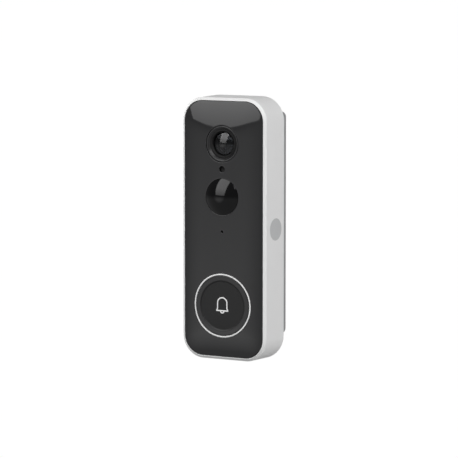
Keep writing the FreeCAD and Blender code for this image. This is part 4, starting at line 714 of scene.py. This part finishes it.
def build_panel(front):
    """The crowned cover: a pierced sheet raised to the crown's level, less a quarter-round roll at each
    border; the same sheet, set back by the skin, closes it behind."""
    panel = extent("front_panel")
    panel.width -= 2 * front.seam / MM
    panel.height -= 2 * front.seam / MM
    holes = [(extent(node).width / 2 + gap, extent(node).z) for node, gap in HOLE_GAPS.items()]
    holes.insert(-1, (MIC_HOLE / 2, extent("microphone_boot").z))
    corner, roll, hole_roll = front.corner / MM, front.roll / MM, front.hole_roll / MM
    flat, faces = pierced_panel(panel, corner, holes, front.spacing / MM, roll, hole_roll)
    drop = rolled(inside_by(flat, panel, corner), roll)
    drop = np.maximum(drop, rolled(past_holes(flat, holes), hole_roll))
    crown = crown_level(*flat.T)
    top = np.stack([flat[:, 0], drop - crown, flat[:, 1]], 1)
    behind = np.stack([flat[:, 0], front.skin / MM - crown, flat[:, 1]], 1)
    count = len(flat)
    pairs = np.concatenate([faces[:, [0, 1]], faces[:, [1, 2]], faces[:, [2, 0]]])
    options = {"axis": 0, "return_index": True, "return_counts": True}
    _, first, times = np.unique(np.sort(pairs, 1), **options)
    start, end = pairs[first[times == 1]].T
    walls = [
        np.stack([end, start, start + count], 1),
        np.stack([end, start + count, end + count], 1),
    ]
    every = np.concatenate([faces, faces[:, ::-1] + count, *walls])
    cover = piece("front_cover", solid(np.concatenate([top, behind]), every), "front_panel")
    even_shading(cover, sharp=60)


def build_camera():
    """The sloping ring, the stepped barrel, the front lens and the inner lens, each turned about the
    camera's axis."""
    ring, barrel, glass, inner = (
        extent(node) for node in ("camera_bezel", "lens_barrel", "lens_glass", "inner_lens")
    )
    outer, edge, top = ring.width / 2, barrel.width / 2, barrel.front
    rim, bore = 0.75, edge + 0.12  # the ring's flat rim, and its bore clear of the barrel
    profile = [
        (bore, ring.back, TIGHT), (outer, ring.back, TIGHT), (outer, ring.front, 0.3),
        (outer - rim, ring.front, 0.4), (bore, top, 0.15),
    ]
    even_shading(piece("camera_ring", tube(spun(softened(profile, steps=8), ring)), "camera_bezel"))

    seat, hole = glass.width / 2 + FIT, inner.width / 2 + FIT
    thread, mouth, lip, ledge = edge - 1.05, seat + 0.6, seat - 0.1, seat - 0.8  # radii
    steps = [
        (hole, barrel.back), (thread, barrel.back), (thread, inner.front), (edge, inner.front),
        (edge, top), (mouth, top), (seat, top - 0.6), (lip, top - 0.9), (lip, glass.back),
        (ledge, glass.back),
    ]
    baffles, tooth = 7, 0.3  # the bore narrows inwards in steps that catch stray light
    levels = np.linspace(glass.back - 0.35, inner.front + 0.3, baffles)
    widths = np.linspace(seat - 0.85, hole + 0.15, baffles)
    for level, width in zip(levels, widths):
        steps += [(width, level), (width - tooth, level)]
    steps.append((hole, inner.front + 0.1))
    profile = softened([(*step, 0.06) for step in steps], steps=3)
    even_shading(piece("lens_barrel_turned", tube(spun(profile, ring)), "lens_barrel"))

    rise, sunk, hollow, flat = 1.85, 1.75, 0.8, 0.6  # the front lens: domed, and hollow behind
    clear = glass.width / 2 - 0.15
    front = cap_arc(clear, rise, glass.front - sunk)
    behind = cap_arc(clear - flat, hollow, glass.back)[::-1]
    profile = np.concatenate([front, behind, [[clear, glass.back]]])
    front_lens = piece("front_lens", tube(spun(profile, ring)), "lens_glass")
    front_lens.data.set_sharp_from_angle(angle=LENS_EDGE)

    rise, radius = 1.4, inner.width / 2
    front = cap_arc(radius, rise, inner.front - rise)
    profile = np.concatenate([front, [[0.0, inner.back], [radius, inner.back]]])
    rear_lens = piece("inner_lens_turned", tube(spun(profile, ring)), "inner_lens")
    rear_lens.data.set_sharp_from_angle(angle=LENS_EDGE)


def build_sensors():
    """The motion sensor's dome, a shell between two spherical caps, and the light pipe's end, which is
    a shallow cone sunk into its hole. The end wears the black barrel finish, a dark face that is painted
    shade for the deep hole."""
    dome = extent("pir_dome")
    inset, flatter, lower = 0.25, 0.5, 0.4  # the dome's edge, and its inside against its outside
    edge, low = dome.width / 2 - inset, dome.front - DOME_RISE
    bore = edge - DOME_WALL
    outside = cap_arc(edge, DOME_RISE, low, steps=48)[::-1]
    inside = cap_arc(bore, DOME_RISE - flatter, low - lower, steps=24)
    profile = np.concatenate([outside, [[edge, dome.back], [bore, dome.back]], inside])
    shell = piece("motion_dome", tube(spun(profile, dome, ROUND)), "pir_dome")
    shell.data.set_sharp_from_angle(angle=LENS_EDGE)

    pipe = extent("light_pipe")
    radius, rim, tip = pipe.width / 2, pipe.front - 1.1, pipe.front - 1.5
    profile = softened([
        (0.0, pipe.back, SHARP), (radius, pipe.back, TIGHT), (radius, rim, BROKEN), (0.0, tip, SHARP),
    ])
    end = tube(spun(profile, pipe, turns=64))
    # Black anodised finish on the pipe's end: painted shade for its deep hole, not the pipe's own colour.
    even_shading(piece("light_window", end, "light_pipe", "barrel_black"))


def conforming(radii, offsets, box):
    """A turned surface about a box's axis whose rows lie at set radii, each offset from the crowned
    front's own level."""
    angle = around(ROUND)
    radii, offsets = radii[:, None], offsets[:, None]
    across, up = box.x + radii * np.cos(angle), box.z + radii * np.sin(angle)
    return np.stack([across, -(crown_level(across, up) + offsets), up], -1)


def dish_drop(radius, button):
    """How deep the button's dish is at a radius: flat in the middle, then 3s^2 - 2s^3 up to its rim,
    where s is the share of the sloping part."""
    share = np.clip((button.dish / MM / 2 - radius) / DISH_SLOPE, 0, 1)
    return button.dish_depth / MM * (3 * share**2 - 2 * share**3)


def build_ring():
    """The frosted ring, whose face follows the crowned front."""
    ring = extent("light_ring")
    proud, depth, edge_round = 0.03, 4.0, 0.2
    outer = ring.width / 2 - RING_GAP
    inner = outer - RING_WIDTH
    rows = softened([
        (inner, 0.0, edge_round), (outer, 0.0, edge_round), (outer, -depth, TIGHT), (inner, -depth, TIGHT),
    ], steps=6)
    points = conforming(rows[:, 0], rows[:, 1] + proud, ring)
    points[:, :, 1] = np.minimum(points[:, :, 1], -ring.back)
    points[rows[:, 1] < -depth / 2, :, 1] = -ring.back  # the back is flat
    even_shading(piece("ring_diffuser", tube(points), "light_ring"))


def build_button(button):
    """The dished cap, whose face follows the crowned front; behind, it is hollow round a short stem."""
    ring = extent("light_ring")
    edge = ring.width / 2 - RING_GAP - RING_WIDTH - CAP_GAP
    rim, flat = button.dish / MM / 2, edge - CAP_ROLL
    reach = np.concatenate([
        np.linspace(0, rim - DISH_SLOPE, 10), np.linspace(rim - DISH_SLOPE, rim, 9)[1:],
        np.linspace(rim + 0.2, flat, 6), flat + CAP_ROLL * np.sin(np.linspace(0, np.pi / 2, 6))[1:],
    ])
    offset = -button.sunk / MM - dish_drop(reach, button) - rolled(edge - reach, CAP_ROLL)
    face = conforming(reach, offset, ring)
    wall, stem = edge - 1.2, 2.5
    back, ceiling, stem_back = 28.4, 28.9, 26.2  # levels of the cap's hidden side
    under = [
        (edge, back), (wall, back), (wall, ceiling), (stem, ceiling), (stem, stem_back), (0.0, stem_back),
    ]
    shape = tube(np.concatenate([face, spun(np.array(under), ring, ROUND)]))
    cap = piece("button_face", shape, "button_cap", "cap_black")
    # Marks the dish on the mesh: its rougher gloss and its darker colour, which is painted shade, follow
    # this value.
    places = np.empty(len(cap.data.vertices) * 3, np.float32)
    cap.data.vertices.foreach_get("co", places)
    across, _, up = places.reshape(-1, 3).T / MM
    away = rim + 0.1 - np.hypot(across - ring.x, up - ring.z)
    matte_and_shade = np.clip(away / 0.3, 0, 1).astype(np.float32)
    cap.data.attributes.new("matte_and_shade", "FLOAT", "POINT").data.foreach_set("value", matte_and_shade)
    even_shading(cap, sharp=40)


def bell_path(button):
    """The bell's closed centre line: a half circle, two sides that flare at the foot, and a base line.
    Returned with the clapper's half circle, both about the button's centre."""
    half = button.bell_width / MM / 2
    flare = button.bell_flare / MM
    shoulder, foot, knee = BELL_LEVELS
    crown = np.linspace(np.pi, 0, 40)
    arc = np.stack([half * np.cos(crown), shoulder + half * np.sin(crown)], 1)
    share = np.linspace(0, 1, 12)[1:]
    side = np.stack([half + 0 * share, shoulder + (knee - shoulder) * share], 1)
    bend = np.stack([half + flare * share**1.6, knee + (foot - knee) * share], 1)
    right = np.concatenate([side, bend])
    left = (right * (-1, 1))[::-1]
    base = np.stack([np.linspace(half + flare, -half - flare, 20)[1:-1], np.full(18, foot)], 1)
    bell = np.concatenate([arc, right, base, left])
    sweep = np.linspace(np.pi, 2 * np.pi, 24)
    radius = button.clapper / MM
    clapper = np.stack([radius * np.cos(sweep), foot - 0.1 + radius * np.sin(sweep)], 1)
    return bell, clapper


def ribbon(path, closed, box, button):
    """A flat line along a path: each row of points is offset sideways from the path and lies on the
    dish's floor, a little proud of it, with a thin body behind."""
    ahead = np.roll(path, -1, 0) - np.roll(path, 1, 0)
    if not closed:
        ahead[0], ahead[-1] = path[1] - path[0], path[-1] - path[-2]
    ahead = unit(ahead)
    side = np.stack([-ahead[:, 1], ahead[:, 0]], 1)
    section = np.array([
        (-0.5, 0.0), (-0.42, 0.05), (-0.25, 0.06), (0.0, 0.06), (0.25, 0.06), (0.42, 0.05), (0.5, 0.0),
        (0.5, -0.3), (-0.5, -0.3),
    ])  # shares of the line's width, and how far each lies in front of the dish
    across, proud = section.T
    points = path[None] + (across * button.stroke / MM)[:, None, None] * side[None]
    px, pz = points[..., 0], points[..., 1]
    sunk = button.sunk / MM + dish_drop(np.hypot(px, pz), button)
    level = crown_level(px + box.x, pz + box.z) - sunk + proud[:, None]
    grid = np.stack([px + box.x, -level, pz + box.z], -1)
    rows, columns = grid.shape[:2]
    faces = grid_faces(rows, columns, close_rows=True, close_columns=closed)
    flat = grid.reshape(-1, 3)
    if not closed:
        index = np.arange(rows * columns).reshape(rows, columns)
        ends = []
        for column, order in ((0, 1), (columns - 1, -1)):
            ring = index[:, column][::order]
            ends.append(np.stack([np.full(rows - 2, ring[0]), ring[1:-1], ring[2:], ring[2:]], 1))
        faces = np.concatenate([faces, *ends])
    return flat, faces


def build_bell(button):
    """The bell symbol: two ribbons laid on the dish's floor."""
    ring = extent("light_ring")
    bell, clapper = bell_path(button)
    shape = bmesh.new()
    for path, closed in ((bell, True), (clapper, False)):
        mesh = as_mesh("part", solid(*ribbon(path, closed, ring, button)))
        shape.from_mesh(mesh)
        bpy.data.meshes.remove(mesh)
    bmesh.ops.dissolve_degenerate(shape, edges=shape.edges, dist=1e-7)
    bmesh.ops.recalc_face_normals(shape, faces=shape.faces)
    even_shading(piece("bell_symbol", shape, "bell_icon"))


def build_badge(housing):
    """The plain disc in the side: a profile turned about an axis that leans with the housing's draft."""
    box, shell = extent("side_badge"), extent("main_housing")
    lean = math.atan2(housing.side_draft / MM, shell.depth - housing.rim_depth / MM)
    radius, thick, turns = box.height / 2 - 0.04, 0.8, 96
    profile = softened([
        (0.0, 0.0, SHARP), (radius, 0.0, TIGHT), (radius, thick, 0.15), (0.0, thick, SHARP),
    ])
    reach, proud = profile[:, :1], profile[:, 1:] - thick / 2
    forward, up = reach * np.cos(around(turns)), reach * np.sin(around(turns))
    across = box.x + proud * math.cos(lean) - forward * math.sin(lean)
    along = -box.level - proud * math.sin(lean) - forward * math.cos(lean)
    points = np.stack([across, along, box.z + up], -1)
    even_shading(piece("side_disc", tube(points), "side_badge"))


def eased(node, name, width):
    """A copy of a CAD node with its edges eased: doubles merged, flat faces joined, and edges past 40
    degrees bevelled to a width in millimetres."""
    shape = bmesh.new()
    shape.from_mesh(frame["nodes"][node].data)
    bmesh.ops.remove_doubles(shape, verts=shape.verts, dist=1e-6)
    bmesh.ops.dissolve_limit(
        shape, angle_limit=math.radians(1), verts=shape.verts, edges=shape.edges
    )
    item = piece(name, shape, node)
    ease = item.modifiers.new("eased_edges", "BEVEL")
    ease.width = width * MM
    ease.segments = 2
    ease.limit_method = "ANGLE"
    ease.angle_limit = math.radians(40)
    even_shading(item, sharp=40)


def build_back():
    """Wall plate, rear cover, catch, flap and terminals, with eased edges."""
    eased("mounting_plate", "wall_plate_tray", 0.35)
    eased("rear_cover", "rear_cover_moulding", 0.25)
    eased("release_catch", "release_tongue", 0.2)
    eased("port_cover", "charging_flap", 0.25)
    eased("terminal_plates", "terminal_clamps", 0.15)
    eased("terminal_screws", "terminal_screw_pair", 0.15)
    eased("rear_cover_screws", "rear_screws", 0.15)
    eased("charging_socket", "charging_socket_shell", 0.1)


def dress_frame():
    """Gives every CAD node that still shows the finish of its own slot."""
    for name, item in frame["nodes"].items():
        item.data.materials.clear()
        item.data.materials.append(FINISHES[SLOT_OF[name]])


# Studio


def aimed(item, target, turn, rise, distance):
    """Puts an item at a distance from the target, at an azimuth and an elevation, and faces it there."""
    back = Vector((
        math.sin(turn) * math.cos(rise), -math.cos(turn) * math.cos(rise), math.sin(rise),
    ))
    item.location = target + back * distance
    item.rotation_mode = "QUATERNION"
    item.rotation_quaternion = (-back).to_track_quat("-Z", "Y")
    return item


def softbox(name, target, azimuth, elevation, distance, width, height, radiance, fade=1.0):
    """A rectangular light that faces the doorbell; its power is pi * area * radiance. Its lower edge
    gives the share called fade of its full brightness, which it reaches at two fifths of its height."""
    rise = math.radians(elevation)
    lamp = bpy.data.lights.new(name, "AREA")
    lamp.shape = "RECTANGLE"
    lamp.size, lamp.size_y = width, height
    lamp.energy = math.pi * width * height * radiance
    item = aimed(into_scene(name, lamp), target, math.radians(azimuth), rise, distance)
    tree = emptied(lamp)
    up = add(tree, "SeparateXYZ", {0: add(tree, "NewGeometry")}).outputs["Z"]
    tall = height * math.cos(rise)
    low = item.location.z - tall / 2
    span = {"From Min": low, "From Max": low + 0.4 * tall, "To Min": fade, "To Max": 1.0}
    glow = add(tree, "Emission", {"Strength": add(tree, "MapRange", {"Value": up, **span})})
    add(tree, "OutputLight", {"Surface": glow})


def build_floor(studio):
    """A wide white floor below the doorbell, which only the camera sees."""
    reach, lines = 60.0, 9
    steps = np.linspace(-reach, reach, lines)
    across, along = np.meshgrid(steps, steps)
    low = np.full_like(across, CAD_BOX[0].z - studio.floor_drop)
    points = np.stack([across, along, low], -1).reshape(-1, 3)
    faces = grid_faces(lines, lines, close_columns=False)
    mesh = bpy.data.meshes.new("floor")
    mesh.from_pydata(points.tolist(), [], faces.tolist())
    mesh.materials.append(studio_white("floor_paper", studio.floor_colour))
    floor = into_scene("floor", mesh)
    for ray in ("diffuse", "glossy", "transmission", "shadow"):
        setattr(floor, f"visible_{ray}", False)
    floor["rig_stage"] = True


def build_world(studio):
    """White to the camera. To the doorbell it is dim above the horizon; below, it is a bright table in
    front and a grey room elsewhere."""
    dim, room, table = ((value, value, value, 1.0) for value in (0.1, 0.3, 1.02))
    ahead = (math.sin(math.radians(-30)), -math.cos(math.radians(-30)), 0.0)
    world = bpy.data.worlds.new("studio")
    tree = emptied(world)
    heading = add(tree, "TexCoord").outputs["Generated"]
    up = add(tree, "SeparateXYZ", {0: heading}).outputs["Z"]
    rise = add(tree, "MapRange", {"Value": up, "From Min": -0.2, "From Max": -0.02})
    facing = add(tree, "VectorMath", {0: heading, 1: ahead}, operation="DOT_PRODUCT")
    edge = {"Value": facing.outputs["Value"], "From Min": 0.91, "From Max": 0.985}
    front = add(tree, "MapRange", edge)
    low = add(tree, "Mix", {0: front, 6: room, 7: table}, data_type="RGBA").outputs[2]
    tone = add(tree, "Mix", {0: rise, 6: low, 7: dim}, data_type="RGBA").outputs[2]
    glow = add(tree, "Background", {"Color": tone, "Strength": 1.0})
    paper = add(tree, "Background", {"Color": linear(studio.floor_colour), "Strength": 1.0})
    mix = add(tree, "MixShader", {0: add(tree, "LightPath"), 1: glow, 2: paper})
    add(tree, "OutputWorld", {"Surface": mix})
    bpy.context.scene.world = world
    bpy.context.scene.view_settings.view_transform = "Standard"


def build_studio(studio):
    """Floor, softboxes, dim surroundings and the camera."""
    housing = extent("main_housing")
    target = Vector((housing.x, -housing.front, housing.z)) * MM
    build_floor(studio)
    # Azimuth and elevation in degrees; distance, width and height in metres; radiance
    softbox("key_softbox", target, -26, 33.2, 1.2, 0.9, 1.43, 2.85, fade=0.52)
    softbox("side_softbox", target, 82, 14, 1.2, 0.95, 1.2, 2.25)
    softbox("high_softbox", target, 50, 46, 1.3, 0.8, 0.8, 1.6)
    softbox("left_softbox", target, -114, 18, 1.2, 0.55, 1.0, 2.6)
    build_world(studio)
    lens = bpy.data.cameras.new("camera")
    lens.lens, lens.sensor_width, lens.clip_end = studio.lens, 36.0, 200.0
    lens.shift_x, lens.shift_y = studio.shift, studio.lift
    camera = into_scene("camera", lens)
    aimed(camera, target, studio.azimuth, studio.elevation, studio.distance)
    bpy.context.scene.camera = camera


# Operators, panel and registration


class DOORBELL_OT_finishes(Operator):
    """Make every finish and give the CAD parts theirs"""

    bl_idname = "doorbell.finishes"
    bl_label = "Finishes"

    def execute(self, context):
        scene = context.scene
        FINISHES.update(make_finishes(scene.doorbell_housing, scene.doorbell_front))
        dress_frame()
        return {"FINISHED"}


class DOORBELL_OT_housing(Operator):
    """Build the housing's shell and the disc in its side"""

    bl_idname = "doorbell.housing"
    bl_label = "Housing"

    def execute(self, context):
        scene = context.scene
        build_housing(scene.doorbell_housing, scene.doorbell_underside)
        build_badge(scene.doorbell_housing)
        return {"FINISHED"}


class DOORBELL_OT_front(Operator):
    """Build the crowned front cover"""

    bl_idname = "doorbell.front"
    bl_label = "Front cover"

    def execute(self, context):
        build_panel(context.scene.doorbell_front)
        return {"FINISHED"}


class DOORBELL_OT_camera(Operator):
    """Build the camera's ring, barrel and lenses"""

    bl_idname = "doorbell.camera"
    bl_label = "Camera"

    def execute(self, context):
        build_camera()
        return {"FINISHED"}


class DOORBELL_OT_sensors(Operator):
    """Build the motion sensor's dome and the light window"""

    bl_idname = "doorbell.sensors"
    bl_label = "Sensors"

    def execute(self, context):
        build_sensors()
        return {"FINISHED"}


class DOORBELL_OT_button(Operator):
    """Build the button, its ring and its bell symbol"""

    bl_idname = "doorbell.button"
    bl_label = "Button"

    def execute(self, context):
        build_ring()
        build_button(context.scene.doorbell_button)
        build_bell(context.scene.doorbell_button)
        return {"FINISHED"}


class DOORBELL_OT_back(Operator):
    """Build the wall plate, rear cover and the small parts behind and below"""

    bl_idname = "doorbell.back"
    bl_label = "Back and underside"

    def execute(self, context):
        build_back()
        return {"FINISHED"}


class DOORBELL_OT_studio(Operator):
    """Build the floor, the lights and the camera"""

    bl_idname = "doorbell.studio"
    bl_label = "Studio"

    def execute(self, context):
        build_studio(context.scene.doorbell_studio)
        return {"FINISHED"}


OPERATORS = (
    DOORBELL_OT_finishes,
    DOORBELL_OT_housing,
    DOORBELL_OT_front,
    DOORBELL_OT_camera,
    DOORBELL_OT_sensors,
    DOORBELL_OT_button,
    DOORBELL_OT_back,
    DOORBELL_OT_studio,
)
GROUPS = {
    "doorbell_housing": DoorbellHousing,
    "doorbell_front": DoorbellFront,
    "doorbell_button": DoorbellButton,
    "doorbell_underside": DoorbellUnderside,
    "doorbell_studio": DoorbellStudio,
}


class DOORBELL_PT_sidebar(Panel):
    """Lists the pieces and their sizes"""

    bl_label = "Doorbell"
    bl_idname = "DOORBELL_PT_sidebar"
    bl_space_type = "VIEW_3D"
    bl_region_type = "UI"
    bl_category = "Doorbell"

    def draw(self, context):
        for operator in OPERATORS:
            self.layout.operator(operator.bl_idname)
        for name, group in GROUPS.items():
            box = self.layout.box()
            box.label(text=group.__doc__)
            for key in group.__annotations__:
                box.prop(getattr(context.scene, name), key)


def register():
    """Adds the groups, the operators and the panel."""
    for kind in (*GROUPS.values(), *OPERATORS, DOORBELL_PT_sidebar):
        bpy.utils.register_class(kind)
    for name, group in GROUPS.items():
        setattr(bpy.types.Scene, name, PointerProperty(type=group))


def unregister():
    """Takes them away again."""
    for name in GROUPS:
        delattr(bpy.types.Scene, name)
    for kind in reversed((*GROUPS.values(), *OPERATORS, DOORBELL_PT_sidebar)):
        bpy.utils.unregister_class(kind)


def main():
    """Builds everything in order and works out the two boxes' corners."""
    register()
    for operator in OPERATORS:
        family, name = operator.bl_idname.split(".")
        getattr(getattr(bpy.ops, family), name)()
    boxes = {"cad": CAD_BOX, "visual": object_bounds()}
    lists = {name: [list(corner) for corner in box] for name, box in boxes.items()}


if __name__ == "__main__":
    main()
